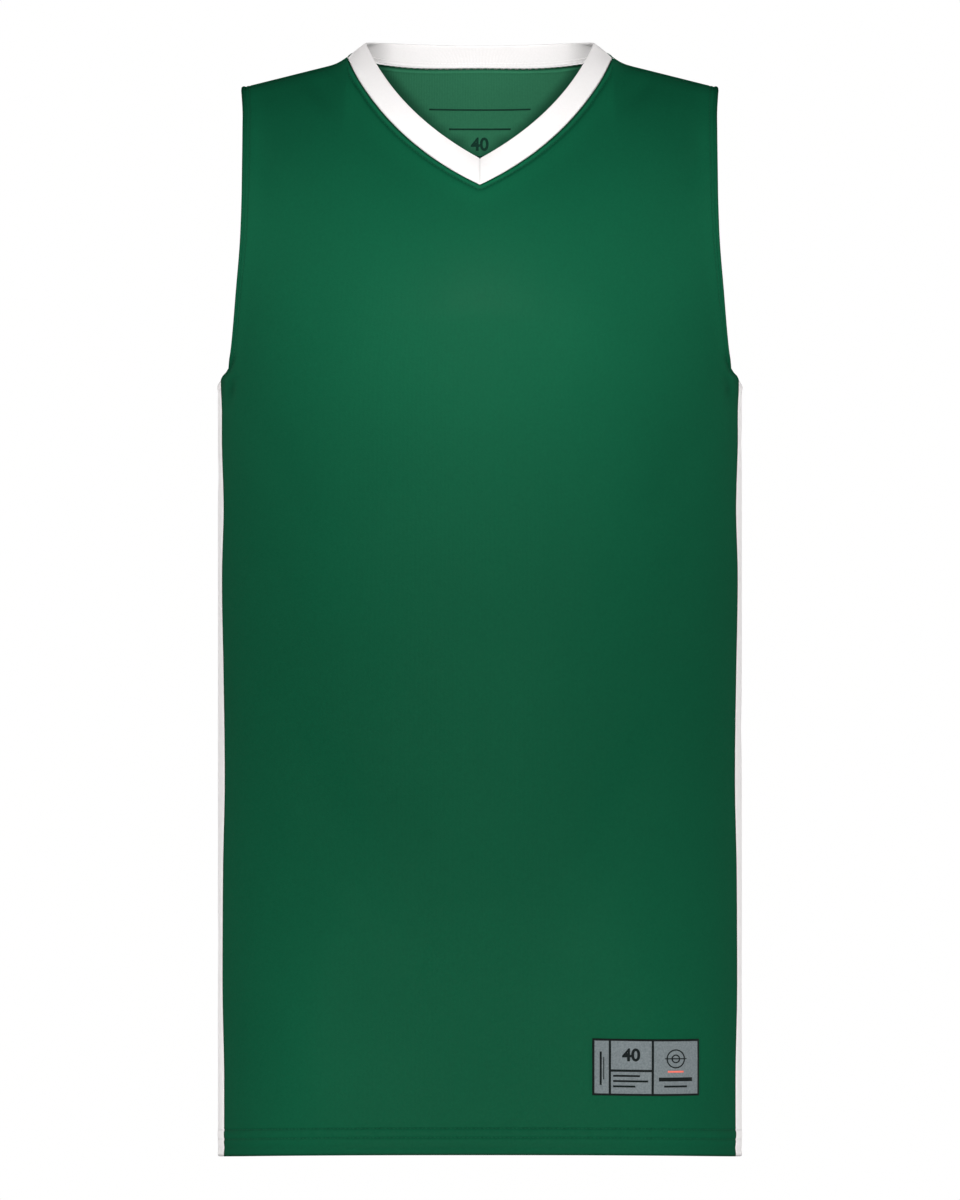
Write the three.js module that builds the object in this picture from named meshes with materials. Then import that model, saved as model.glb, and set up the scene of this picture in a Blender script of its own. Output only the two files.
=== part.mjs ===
// Basketball jersey in an adult medium: sleeveless, V-necked, filled out as when worn, with nobody in it.
// Millimetres, +Z up. The front faces -Y. The origin is midway between the two neck points, where the
// shoulder seams meet the collar, at the height where shoulders carry the cloth.
// Each cut piece is a wall of cloth: a grid of points on the outside of the garment, and the same grid
// moved in by the thickness of the cloth.
import * as THREE from "three";

// Cloth
const KNIT_WALL = 1.2; // one layer of the body knit
const TURNED_WALL = 2.2; // where an edge is turned under and stitched
const COLLAR_WALL = 2.0; // the collar strip is folded double
const TAG_WALL = 1.0;
const SEAM_GAP = 0.3; // between neighbouring pieces
const COLLAR_GAP = 0.5; // between the collar and the panels, whose shoulder seams end there

// Heights and turnings
const HEM_LEVEL = -768;
const HEM_LIFT = 10.3; // the chest holds the middle of the front hem this much higher
const HEM_LIFT_SPREAD = 1.2; // power of that lift's share from the sides to the middle
const HEM_TURN = 20;
const UNDERARM_LEVEL = -226.5;
const ARMHOLE_DIP = 3.5; // the armhole's lowest point, in the middle of the side panel
const EDGE_TURN = 10; // turning at the armholes, and seam allowance down the sides
const STEP = 1.2; // width over which a turning's step thins out

// Form of the figure that fills the cloth
const SQUARENESS = 2.4; // power of the oval sections: 2 is an ellipse, more is squarer
const ARCH_HEIGHT = 200; // depth below the shoulder ridge at which the chest and back are fullest
const ARCH_AT_NECK = 1.5; // power of the arch from chest to shoulder, near the neck
const ARCH_AT_TIP = 1.8; // and at the shoulder tip
const ARCH_NECK_REACH = 60; // half the width over which the neck's power holds

// Shoulder ridge, the highest line of the cloth from neck point to shoulder tip
const NECK_POINT = 92.7; // half the width of the neck opening at its seam
const SHOULDER_TIP = 167.3; // half the width from tip to tip
const RIDGE_X = 105; // a place on the ridge clear of the collar
const RIDGE_Z = -5.1;
const RIDGE_SLOPE = 0.262;
const RIDGE_ROUND = 40; // rounds the ridge line where the two slopes would meet
const FLARE = { x: 89, width: 8, height: 4.1 }; // the cloth lifts beside the collar
const NECK_RISE = { "-1": -14, 1: 31.3 }; // front falls away from the neck, back climbs it
const NECK_RISE_REACH = 94; // half the width over which that rise is felt
const NECK_RISE_POWER = 1.5;
const NECK_RISE_FADE = 110; // depth below the neck points at which that rise has died out
const SEAM_DROP = 2; // the shoulder seam lies forward of the ridge, this far below it
const SEAM_GAP_DROP = 0.06; // each side's share of the gap there, as a drop below the ridge

// Neck seam and collar edge. The front ones are quadratic curves from the V to the neck point.
const NECK_SEAM = { v: -94.1, pullX: 64.6, pullZ: -62.8 };
const BACK_NECK_DEPTH = 50; // drop of the back neck seam below the ridge line, at the centre
const BACK_NECK_POWER = 1.2;
const COLLAR_EDGE = {
  v: new THREE.Vector3(0, -82, -75.1),
  pull: new THREE.Vector3(57.5, -73, -43.2),
  side: new THREE.Vector3(78.1, -4, 10.1),
  backY: 50.8,
  backZ: 13.3,
};
const COLLAR_CROWN = 0.8; // the strip bulges this much between its edges

// Woven tag near the hem, on the wearer's left
const TAG = { left: 77.2, right: 149.8, top: -679.8, bottom: -718.6, lean: 0.012 };

// Level sections of the body, outside the cloth. Above the underarm the width is that of the oval
// that the front and back would follow if the armholes were closed.
const SECTIONS = [
  { z: -768, width: 183.3, front: 121, back: 116 },
  { z: -640, width: 183.3, front: 119, back: 112 },
  { z: -500, width: 183.3, front: 118, back: 107 },
  { z: -380, width: 183.3, front: 120, back: 109 },
  { z: -290, width: 183.3, front: 123.5, back: 114 },
  { z: -226.5, width: 183.3, front: 125, back: 117 },
  { z: -170, width: 188, front: 125, back: 118 },
  { z: -90, width: 192, front: 125, back: 118 },
  { z: 0, width: 195, front: 125, back: 118 },
  { z: 60, width: 196, front: 125, back: 118 },
];

// Half width across the body at the armhole's edge
const ARMHOLE = [
  { z: -226.5, x: 179.3 },
  { z: -224.5, x: 178.5 },
  { z: -222.4, x: 176.9 },
  { z: -219.6, x: 175.2 },
  { z: -214.9, x: 174.2 },
  { z: -206, x: 172.5 },
  { z: -165, x: 168.7 },
  { z: -124, x: 165.7 },
  { z: -95, x: 165.1 },
  { z: -45, x: 165.3 },
  { z: -19, x: 167.3 },
];

// Distance of the side seams in front of and behind the side's middle line. It wanders as sewn cloth does.
const SIDE_SEAM = [
  { z: -768, y: 41 },
  { z: -719, y: 41 },
  { z: -645, y: 36.5 },
  { z: -575, y: 37.5 },
  { z: -505, y: 41.5 },
  { z: -430, y: 39 },
  { z: -365, y: 35.5 },
  { z: -309, y: 40.5 },
  { z: -267, y: 36.5 },
  { z: -226.5, y: 36.5 },
];

// Soft folds, on both halves of each panel. Each runs from its first point to its second, and pushes
// the cloth out by deep, or in where deep is negative, over about wide on each side of its line.
const FRONT_FOLDS = [
  { x1: 0, z1: -160, x2: 0, z2: -330, deep: 2.5, wide: 62 },
  { x1: 158, z1: -330, x2: 22, z2: -540, deep: -4, wide: 40 },
  { x1: 132, z1: -475, x2: 64, z2: -618, deep: -2.5, wide: 26 },
  { x1: 166, z1: -238, x2: 118, z2: -330, deep: -3, wide: 17 },
  { x1: 140, z1: -66, x2: 112, z2: -180, deep: -2, wide: 22 },
  { x1: 118, z1: -620, x2: 128, z2: -760, deep: 2.5, wide: 24 },
];
const BACK_FOLDS = [
  { x1: 0, z1: -90, x2: 0, z2: -420, deep: -4, wide: 34 },
  { x1: 66, z1: -210, x2: 74, z2: -750, deep: 4, wide: 26 },
  { x1: 118, z1: -330, x2: 108, z2: -760, deep: -4, wide: 24 },
  { x1: 166, z1: -238, x2: 110, z2: -345, deep: -3.5, wide: 18 },
  { x1: 138, z1: -60, x2: 104, z2: -190, deep: -2.5, wide: 24 },
];

const FOLD_ENDS = 0.15; // share of a fold's arched profile that is cut off at each end
const FOLD_EDGE = 0.2; // share of the panel, beside its side edge, over which its folds die out

// Grid counts, for half of the garment
const NECK_COLUMNS = 8;
const SHOULDER_COLUMNS = 6;
const COLUMNS = NECK_COLUMNS + SHOULDER_COLUMNS;
const LOWER_ROWS = 17;
const UPPER_ROWS = 17;
const UPPER_ROW_POWER = 1.5; // brings the rows closer together just above the underarm
const SIDE_COLUMNS = 6;
const COLLAR_ROWS = 3;
const TAG_COLUMNS = 8;
const TAG_ROWS = 4;

const { lerp, clamp } = THREE.MathUtils;
const FRONT = -1;
const BACK = 1;

// A function that gives a table's column at any height, on a smooth curve that never overshoots its rows.
function curve(table, column) {
  const rows = [...table].sort((a, b) => a.z - b.z);
  const rise = rows.slice(1).map((row, i) => (row[column] - rows[i][column]) / (row.z - rows[i].z));
  const slope = rows.map((_, i) => {
    const before = rise[Math.max(i - 1, 0)];
    const after = rise[Math.min(i, rise.length - 1)];
    return before * after > 0 ? (2 * before * after) / (before + after) : 0;
  });
  return (height) => {
    const z = clamp(height, rows[0].z, rows.at(-1).z);
    const i = clamp(rows.findIndex((row) => z <= row.z) - 1, 0, rows.length - 2);
    const span = rows[i + 1].z - rows[i].z;
    const t = (z - rows[i].z) / span;
    return (
      rows[i][column] * (1 + 2 * t) * (1 - t) ** 2 +
      rows[i + 1][column] * t * t * (3 - 2 * t) +
      slope[i] * span * t * (1 - t) ** 2 -
      slope[i + 1] * span * t * t * (1 - t)
    );
  };
}

const widthAt = curve(SECTIONS, "width");
const depthAt = { [FRONT]: curve(SECTIONS, "front"), [BACK]: curve(SECTIONS, "back") };
const armholeAt = curve(ARMHOLE, "x");
const seamAt = curve(SIDE_SEAM, "y");

// Superellipse: the share left in one direction when the other takes share.
const oval = (share, power) => Math.max(1 - Math.abs(share) ** power, 0) ** (1 / power);

const smoothstep = (t) => {
  const s = clamp(t, 0, 1);
  return s * s * (3 - 2 * s);
};

// Height of the shoulder ridge over a point x across the body. Inside the neck opening it is the line
// that the front or the back would reach if it went on up.
function ridge(face, x, z) {
  const line = RIDGE_Z - RIDGE_SLOPE * (Math.hypot(x, RIDGE_ROUND) - Math.hypot(RIDGE_X, RIDGE_ROUND));
  const flare = FLARE.height * Math.exp(-(((Math.abs(x) - FLARE.x) / FLARE.width) ** 2));
  const inside = Math.max(1 - (x / NECK_RISE_REACH) ** 2, 0) ** NECK_RISE_POWER;
  const fade = smoothstep(1 + z / NECK_RISE_FADE);
  return line + flare + NECK_RISE[face] * inside * fade;
}

// Height of the place that lies a drop below the ridge. The ridge moves with it, so it is closed in on.
function heightAt(face, x, drop) {
  let z = -drop;
  for (let pass = 0; pass < 20; pass += 1) {
    z = ridge(face, x, z) - drop;
  }
  return z;
}

// How far the cloth has reached towards its full depth at a drop below the ridge, from 0 to 1.
function arch(drop, x) {
  const tip = smoothstep((Math.abs(x) - ARCH_NECK_REACH) / (SHOULDER_TIP - ARCH_NECK_REACH));
  const power = lerp(ARCH_AT_NECK, ARCH_AT_TIP, tip);
  return oval(1 - Math.min(drop, ARCH_HEIGHT) / ARCH_HEIGHT, power);
}

// Sum of the folds of one face at a point, each fading at its ends and near the panel's side edge.
// nearEdge runs from 0 on the centre line to 1 at that edge.
function foldDepth(face, x, z, nearEdge) {
  const folds = face === FRONT ? FRONT_FOLDS : BACK_FOLDS;
  const across = Math.abs(x);
  const sum = folds.reduce((total, fold) => {
    const runX = fold.x2 - fold.x1;
    const runZ = fold.z2 - fold.z1;
    const t = ((across - fold.x1) * runX + (z - fold.z1) * runZ) / (runX ** 2 + runZ ** 2);
    const near = clamp(t, 0, 1);
    const away = Math.hypot(across - fold.x1 - near * runX, z - fold.z1 - near * runZ);
    const along = Math.sin(Math.PI * lerp(FOLD_ENDS, 1 - FOLD_ENDS, near));
    return total + fold.deep * Math.exp(-((away / fold.wide) ** 2)) * along;
  }, 0);
  return sum * smoothstep((1 - nearEdge) / FOLD_EDGE);
}

// A point of the cloth's outside. turn is the angle round the oval from the centre line, width the
// oval's half width, and drop the depth below the ridge, negative past the ridge on the other face.
function clothPoint(face, turn, width, drop, z, nearEdge) {
  const side = drop < 0 ? -face : face;
  const x = width * Math.sin(turn) ** (2 / SQUARENESS);
  const y = side * depthAt[side](z) * arch(Math.abs(drop), x) * Math.cos(turn) ** (2 / SQUARENESS);
  const point = new THREE.Vector3(x, y, z);
  const outward = outwardAt(point).setZ(0).normalize();
  return point.addScaledVector(outward, foldDepth(face, x, z, nearEdge));
}

// How far out of the smooth form a point lies: 1 on its surface, more outside.
function levelAt(x, y, z) {
  const side = y < 0 ? FRONT : BACK;
  const drop = Math.max(ridge(side, x, z) - z, 1e-3);
  const depth = depthAt[side](z) * arch(drop, x);
  return Math.abs(x / widthAt(z)) ** SQUARENESS + Math.abs(y / depth) ** SQUARENESS;
}

// The direction straight out of the smooth form at a point.
function outwardAt({ x, y, z }) {
  const step = 0.01;
  return new THREE.Vector3(
    levelAt(x + step, y, z) - levelAt(x - step, y, z),
    levelAt(x, y + step, z) - levelAt(x, y - step, z),
    levelAt(x, y, z + step) - levelAt(x, y, z - step),
  ).normalize();
}

const turnOfX = (x, width) => Math.asin(clamp(x / width, 0, 1) ** (SQUARENESS / 2));
const turnOfY = (y, depth) => Math.acos(clamp(y / depth, 0, 1) ** (SQUARENESS / 2));

// Angles that divide the half section from the centre line to the side seam into equal lengths, with
// two more columns where the turning of the side edge ends. Returned as shares of the last angle.
function evenTurns() {
  const width = widthAt(UNDERARM_LEVEL);
  const depth = depthAt[FRONT](UNDERARM_LEVEL);
  const last = turnOfY(seamAt(UNDERARM_LEVEL), depth);
  const fine = 400;
  const points = Array.from({ length: fine + 1 }, (_, i) => {
    const turn = (last * i) / fine;
    return [width * Math.sin(turn) ** (2 / SQUARENESS), depth * Math.cos(turn) ** (2 / SQUARENESS)];
  });
  const lengths = [0];
  points.slice(1).forEach(([x, y], i) => {
    lengths.push(lengths[i] + Math.hypot(x - points[i][0], y - points[i][1]));
  });
  const total = lengths.at(-1);
  const plain = COLUMNS - 2;
  const stops = Array.from({ length: plain + 1 }, (_, i) => ((total - EDGE_TURN - STEP) * i) / plain);
  return [...stops, total - EDGE_TURN, total].map((stop) => {
    const i = clamp(lengths.findIndex((length) => length >= stop), 1, fine);
    const between = (stop - lengths[i - 1]) / (lengths[i] - lengths[i - 1]);
    return (i - 1 + between) / fine;
  });
}

const BOTTOM_SHARES = evenTurns();

// The front neck seam, from the V at 0 to the neck point at 1, seen from the front.
function frontNeck(t) {
  const end = ridge(FRONT, NECK_POINT, 0) - SEAM_DROP;
  return {
    x: 2 * t * (1 - t) * NECK_SEAM.pullX + t * t * NECK_POINT,
    z: (1 - t) ** 2 * NECK_SEAM.v + 2 * t * (1 - t) * NECK_SEAM.pullZ + t * t * end,
  };
}

// Top edge of a panel: the neck seam to the neck point, and then the shoulder seam to the tip. Each
// point has its place across and its drop below the ridge, negative over the ridge.
function topEdge(face) {
  const shoulderDrop = face === FRONT ? SEAM_DROP + SEAM_GAP_DROP : -SEAM_DROP + SEAM_GAP_DROP;
  const neck = Array.from({ length: NECK_COLUMNS }, (_, i) => {
    const t = i / NECK_COLUMNS;
    if (face === FRONT) {
      const { x, z } = frontNeck(t);
      return { x, drop: ridge(FRONT, x, z) - z };
    }
    const x = NECK_POINT * Math.sin((t * Math.PI) / 2);
    const climb = (1 - (x / NECK_POINT) ** 2) ** BACK_NECK_POWER;
    return { x, drop: BACK_NECK_DEPTH * climb - SEAM_DROP };
  });
  const length = SHOULDER_TIP - NECK_POINT;
  const plain = SHOULDER_COLUMNS - 2;
  const steps = Array.from({ length: plain + 1 }, (_, i) => ((length - EDGE_TURN - STEP) * i) / plain);
  const shoulder = [...steps, length - EDGE_TURN, length].map((along) => ({
    x: NECK_POINT + along,
    drop: shoulderDrop,
  }));
  return [...neck, ...shoulder];
}

// Heights of the rows from hem to underarm, with two where the hem's turning ends.
function lowerLevels() {
  const start = HEM_LEVEL + HEM_TURN + STEP;
  const rows = Array.from({ length: LOWER_ROWS + 1 }, (_, i) => lerp(start, UNDERARM_LEVEL, i / LOWER_ROWS));
  return [HEM_LEVEL, HEM_LEVEL + HEM_TURN, ...rows];
}

// The front hem is lifted in the middle. The lift dies out up the body and towards the sides.
function lifted(z, y) {
  const fullness = y < 0 ? Math.abs(y / depthAt[FRONT](z)) ** HEM_LIFT_SPREAD : 0;
  return z + HEM_LIFT * fullness * smoothstep((UNDERARM_LEVEL - z) / (UNDERARM_LEVEL - HEM_LEVEL));
}

// Half of a front or back panel as rows of points, each row running from the centre line to the side.
function halfPanel(face) {
  const lower = lowerLevels().map((z) => {
    const last = turnOfY(seamAt(z) + SEAM_GAP / 2, depthAt[face](z));
    return BOTTOM_SHARES.map((share) => {
      const turn = share * last;
      const point = clothPoint(face, turn, widthAt(z), ARCH_HEIGHT, z, share);
      point.z = lifted(z, point.y);
      return point;
    });
  });
  const top = topEdge(face);
  const tipWidth = widthAt(ridge(face, SHOULDER_TIP, 0));
  const lastTurn = turnOfX(SHOULDER_TIP, tipWidth);
  const topShares = top.map(({ x }) => turnOfX(x, tipWidth) / lastTurn);
  const upper = Array.from({ length: UPPER_ROWS }, (_, i) => {
    const climb = Math.sin((Math.PI / 2) * ((i + 1) / UPPER_ROWS) ** UPPER_ROW_POWER);
    const edgeZ = lerp(UNDERARM_LEVEL, ridge(face, SHOULDER_TIP, 0) - SEAM_DROP, climb);
    const width = widthAt(edgeZ);
    const last = turnOfX(armholeAt(edgeZ), width);
    return top.map(({ drop: topDrop }, column) => {
      const share = lerp(BOTTOM_SHARES[column], topShares[column], climb);
      const x = width * Math.sin(share * last) ** (2 / SQUARENESS);
      const drop = lerp(ridge(face, x, UNDERARM_LEVEL) - UNDERARM_LEVEL, topDrop, climb);
      return clothPoint(face, share * last, width, drop, heightAt(face, x, Math.abs(drop)), share);
    });
  });
  return [...lower, ...upper];
}

// The direction out of a looped grid at one of its points, from the points round it.
function outwardOfLoop(grid, row, column) {
  const columns = grid[0].length;
  const at = (i, j) => grid[clamp(i, 0, grid.length - 1)][(j + columns) % columns];
  const along = at(row, column + 1).clone().sub(at(row, column - 1));
  const up = at(row + 1, column).clone().sub(at(row - 1, column));
  return along.cross(up).normalize();
}

// A closed wall from a grid of outside points. wall gives the thickness at a row and column. A looped
// grid joins its last column to its first.
function wallGeometry(grid, wall, looped = false) {
  const rows = grid.length;
  const columns = grid[0].length;
  const inside = grid.map((line, row) =>
    line.map((point, column) => {
      const outward = looped ? outwardOfLoop(grid, row, column) : outwardAt(point);
      return point.clone().addScaledVector(outward, -wall(row, column));
    }),
  );
  const points = [...grid.flat(), ...inside.flat()];
  const outer = (row, column) => row * columns + (column % columns);
  const inner = (row, column) => rows * columns + outer(row, column);
  const index = [];
  const quad = (a, b, c, d) => index.push(a, b, c, a, c, d);
  const spans = looped ? columns : columns - 1;
  for (let row = 0; row < rows - 1; row += 1) {
    for (let column = 0; column < spans; column += 1) {
      const next = column + 1;
      quad(outer(row, column), outer(row, next), outer(row + 1, next), outer(row + 1, column));
      quad(inner(row, column), inner(row + 1, column), inner(row + 1, next), inner(row, next));
    }
  }
  for (let column = 0; column < spans; column += 1) {
    quad(inner(0, column), inner(0, column + 1), outer(0, column + 1), outer(0, column));
    quad(
      outer(rows - 1, column), outer(rows - 1, column + 1),
      inner(rows - 1, column + 1), inner(rows - 1, column),
    );
  }
  if (!looped) {
    const end = columns - 1;
    for (let row = 0; row < rows - 1; row += 1) {
      quad(inner(row, 0), outer(row, 0), outer(row + 1, 0), inner(row + 1, 0));
      quad(outer(row, end), inner(row, end), inner(row + 1, end), outer(row + 1, end));
    }
  }
  const geometry = new THREE.BufferGeometry();
  geometry.setAttribute("position", new THREE.Float32BufferAttribute(points.flatMap((p) => p.toArray()), 3));
  geometry.setIndex(index);
  geometry.computeVertexNormals();
  return geometry;
}

const mirrored = (point) => new THREE.Vector3(-point.x, point.y, point.z);

// Both halves of a panel. The back's rows run the other way, so that its outside faces out.
function panelGrid(face) {
  const rows = halfPanel(face).map((half) => [...half.slice(1).reverse().map(mirrored), ...half]);
  return face === FRONT ? rows : rows.map((row) => row.reverse());
}

// Thickness of a front or back panel: double at the hem, the armholes and the side seams.
function panelWall(row, column) {
  const fromSide = Math.min(column, 2 * COLUMNS - column);
  return row < 2 || fromSide < 2 ? TURNED_WALL : KNIT_WALL;
}

// The side panel on the wearer's left: a strip from the front side seam to the back one, with its top
// edge as the bottom of the armhole.
function sideGrid() {
  const rim = UNDERARM_LEVEL - (EDGE_TURN + STEP);
  const levels = lowerLevels().slice(0, -1);
  const tops = [rim, UNDERARM_LEVEL - EDGE_TURN, UNDERARM_LEVEL];
  return [...levels.filter((z) => z < rim - STEP), ...tops].map((z) => {
    const height = (z - HEM_LEVEL) / (UNDERARM_LEVEL - HEM_LEVEL);
    return Array.from({ length: SIDE_COLUMNS + 1 }, (_, column) => {
      const share = (2 * column) / SIDE_COLUMNS - 1;
      const y = share * (seamAt(z) - SEAM_GAP / 2);
      const depth = depthAt[y < 0 ? FRONT : BACK](z);
      const dip = ARMHOLE_DIP * (1 - share ** 2) * smoothstep(height);
      return new THREE.Vector3(widthAt(z) * oval(y / depth, SQUARENESS), y, lifted(z, y) - dip);
    });
  });
}

function sideWall(rows) {
  return (row) => (row < 2 || row > rows - 3 ? TURNED_WALL : KNIT_WALL);
}

// The neck seam as the panels have it, from the V round the wearer's left to the middle of the back.
function neckSeam() {
  const front = halfPanel(FRONT).at(-1).slice(0, NECK_COLUMNS + 1);
  const back = halfPanel(BACK).at(-1).slice(0, NECK_COLUMNS);
  return [...front, ...back.reverse()];
}

// The collar's free edge, point for point with the neck seam.
function collarEdge() {
  const { v, pull, side, backY, backZ } = COLLAR_EDGE;
  const front = new THREE.QuadraticBezierCurve3(v, pull, side);
  const fronts = Array.from({ length: NECK_COLUMNS + 1 }, (_, i) => front.getPoint(i / NECK_COLUMNS));
  const backs = Array.from({ length: NECK_COLUMNS }, (_, i) => {
    const round = ((i + 1) / NECK_COLUMNS) * (Math.PI / 2);
    return new THREE.Vector3(
      side.x * Math.cos(round),
      lerp(side.y, backY, Math.sin(round)),
      backZ - (backZ - side.z) * (1 - Math.sin(round)) ** 3,
    );
  });
  return [...fronts, ...backs];
}

// The collar: a ring from the neck seam to its free edge, slightly crowned across its width.
function collarGrid() {
  const seam = neckSeam();
  const edge = collarEdge();
  const middle = new THREE.Vector3(0, 0, NECK_SEAM.v);
  const line = (row) =>
    seam.map((from, i) => {
      const strip = edge[i].clone().sub(from);
      const start = COLLAR_GAP / strip.length();
      const share = lerp(start, 1, row / COLLAR_ROWS);
      const outward = from.clone().sub(middle).setZ(0).normalize();
      const crown = COLLAR_CROWN * Math.sin(Math.PI * share);
      return from.clone().addScaledVector(strip, share).addScaledVector(outward, crown);
    });
  return Array.from({ length: COLLAR_ROWS + 1 }, (_, row) => {
    const left = line(row);
    return [...left, ...left.slice(1, -1).reverse().map(mirrored)];
  });
}

// The tag lies on the front panel's outside, moved out by the seam gap and its own thickness.
function tagGrid() {
  return Array.from({ length: TAG_ROWS + 1 }, (_, row) =>
    Array.from({ length: TAG_COLUMNS + 1 }, (_, column) => {
      const x = lerp(TAG.left, TAG.right, column / TAG_COLUMNS);
      const z = lerp(TAG.bottom, TAG.top, row / TAG_ROWS) - TAG.lean * (x - TAG.left);
      const width = widthAt(z);
      const last = turnOfY(seamAt(z), depthAt[FRONT](z));
      const turn = turnOfX(x, width);
      const point = clothPoint(FRONT, turn, width, ARCH_HEIGHT, z, turn / last);
      return point.addScaledVector(outwardAt(point), SEAM_GAP + TAG_WALL);
    }),
  );
}

const green = new THREE.MeshStandardMaterial({ color: 0x14593c, roughness: 0.62, metalness: 0 });
const white = new THREE.MeshStandardMaterial({ color: 0xf1efec, roughness: 0.7, metalness: 0 });
const grey = new THREE.MeshStandardMaterial({ color: 0x747b7d, roughness: 0.8, metalness: 0 });

function piece(name, geometry, material) {
  const mesh = new THREE.Mesh(geometry, material);
  mesh.name = name;
  return mesh;
}

const leftSide = sideGrid();
const rightSide = leftSide.map((row) => row.map(mirrored).reverse());

const jersey = new THREE.Group();
jersey.name = "jersey";
jersey.add(piece("front", wallGeometry(panelGrid(FRONT), panelWall), green));
jersey.add(piece("back", wallGeometry(panelGrid(BACK), panelWall), green));
jersey.add(piece("side_left", wallGeometry(leftSide, sideWall(leftSide.length)), white));
jersey.add(piece("side_right", wallGeometry(rightSide, sideWall(rightSide.length)), white));
jersey.add(piece("collar", wallGeometry(collarGrid(), () => COLLAR_WALL, true), white));
jersey.add(piece("tag", wallGeometry(tagGrid(), () => TAG_WALL), grey));

export default jersey;
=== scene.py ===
"""Basketball jersey in thin knit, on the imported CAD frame.

Metres, +Z up, the front faces -Y. Each cut piece of cloth is a thin closed shell on the form that its
solid has. The garment's form is a set of oval level sections, which close over an arch towards the
shoulder ridge. A point of the cloth is found from its angle round the oval and its depth below the ridge.
"""

import math

import bmesh
import bpy
import numpy as np
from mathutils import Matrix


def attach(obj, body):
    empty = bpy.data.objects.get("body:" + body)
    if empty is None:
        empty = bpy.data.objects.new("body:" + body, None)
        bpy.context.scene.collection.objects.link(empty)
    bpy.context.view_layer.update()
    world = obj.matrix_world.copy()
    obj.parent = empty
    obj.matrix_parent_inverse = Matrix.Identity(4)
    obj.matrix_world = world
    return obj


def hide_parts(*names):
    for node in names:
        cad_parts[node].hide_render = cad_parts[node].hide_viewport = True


bl_info = {
    "name": "Basketball jersey",
    "version": (1, 0, 0),
    "blender": (4, 5, 0),
    "location": "3D View > Sidebar > Jersey",
    "description": "Builds a sleeveless V-necked jersey of thin knit cloth on its packed CAD frame",
    "category": "Add Mesh",
}

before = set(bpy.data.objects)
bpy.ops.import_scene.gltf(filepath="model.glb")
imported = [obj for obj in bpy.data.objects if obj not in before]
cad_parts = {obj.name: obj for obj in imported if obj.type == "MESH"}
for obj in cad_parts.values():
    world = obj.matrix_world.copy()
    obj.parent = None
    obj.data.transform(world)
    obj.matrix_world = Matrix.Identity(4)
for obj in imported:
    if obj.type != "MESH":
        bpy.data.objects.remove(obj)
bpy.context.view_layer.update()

FRONT = -1
BACK = 1
MIRROR = np.array([-1.0, 1.0, 1.0])

# Heights and turnings, as in the part's source
HEM_LEVEL = -0.7686
HEM_LIFT = 0.0103
HEM_LIFT_SPREAD = 1.2
UNDERARM_LEVEL = -0.2265
ARMHOLE_DIP = 0.0035
EDGE_TURN = 0.010
STEP = 0.0012
SEAM_GAP = 0.00004
SEAM_DROP = 0.002
SEAM_GAP_DROP = 0.000002

# Form of the figure that fills the cloth
SQUARENESS = 2.4
ARCH_HEIGHT = 0.2
ARCH_AT_NECK = 1.5
ARCH_AT_TIP = 1.8
ARCH_NECK_REACH = 0.06

# Shoulder ridge
NECK_POINT = 0.0927
SHOULDER_TIP = 0.1673
RIDGE_X = 0.105
RIDGE_Z = -0.0051
RIDGE_SLOPE = 0.262
RIDGE_ROUND = 0.040
FLARE_X = 0.089
FLARE_WIDTH = 0.008
FLARE_HEIGHT = 0.0041
FLARE_FADE = 0.07
NECK_RISE = {FRONT: -0.014, BACK: 0.0313}
NECK_RISE_REACH = 0.094
NECK_RISE_POWER = {FRONT: 2.0, BACK: 1.5}
NECK_RISE_FADE = 0.110

# Neck seam and the collar's free edge
NECK_V = -0.0941
NECK_PULL_X = 0.0646
NECK_PULL_Z = -0.0628
BACK_NECK_DEPTH = 0.0488
BACK_NECK_POWER = 1.3
COLLAR_V = np.array([0.0, -0.082, -0.0751])
COLLAR_PULL = np.array([0.0575, -0.073, -0.0432])
COLLAR_SIDE = np.array([0.0797, -0.004, 0.0106])
COLLAR_BACK_Y = 0.0508
COLLAR_BACK_Z = 0.0133
COLLAR_CROWN = 0.0008
COLLAR_HEIGHT = 0.017
COLLAR_BORDER = np.array([0.0, 0.00006, 0.00022, 0.0005, 0.0009, 0.0014])
# Painted shade on the collar's inside: a little in its middle, more towards its ends
COLLAR_INSIDE_SHADE = (0.03, 0.43)

# Woven tag near the hem, on the wearer's left
TAG_LEFT = 0.0767
TAG_RIGHT = 0.1498
TAG_TOP = -0.6790
TAG_BOTTOM = -0.7178
TAG_LEAN = 0.034
TAG_WIDE = TAG_RIGHT - TAG_LEFT
TAG_HIGH = TAG_TOP - TAG_BOTTOM
TAG_THICKNESS = 0.0008
TAG_OFF_CLOTH = 0.0009
TAG_BORDER = np.array([0.0, 0.00005, 0.0002, 0.00045])
TAG_FRAME = 0.0014

# Woven in the tag, from its lower corner: two upright lines and a shelf, and half their width
TAG_BAR_1 = 0.0119
TAG_BAR_2 = 0.0405
TAG_SHELF = 0.0171
TAG_BAR_HALF = 0.0008

# Sewn on the tag, from its lower corner: both ends across, both heights, steps across
TAG_BARS = [
    (0.0141, 0.0320, 0.0129, 0.0142, 8),
    (0.0141, 0.0374, 0.0093, 0.0106, 8),
    (0.0141, 0.0290, 0.0057, 0.0070, 8),
    (0.0446, 0.0678, 0.0100, 0.0126, 8),
    (0.0482, 0.0642, 0.0058, 0.0071, 8),
    (0.0050, 0.0063, 0.0072, 0.0300, 2),
    (0.0074, 0.0080, 0.0110, 0.0262, 2),
]
TAG_LINE = (0.0486, 0.0638, 0.0251, 0.0258, 8)
TAG_ACCENT = (0.0506, 0.0618, 0.0160, 0.0172, 8)
TAG_BALL = (0.0562, 0.0254)
TAG_RINGS = (0.0061, 0.0026)
TAG_RING_WIDTH = 0.0008
TAG_RING_STEPS = 40
TAG_NUMBER = (0.0262, 0.0275, 0.00003)
TAG_FACE = 0.00095
TAG_MARK_DEPTH = 0.00012

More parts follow.
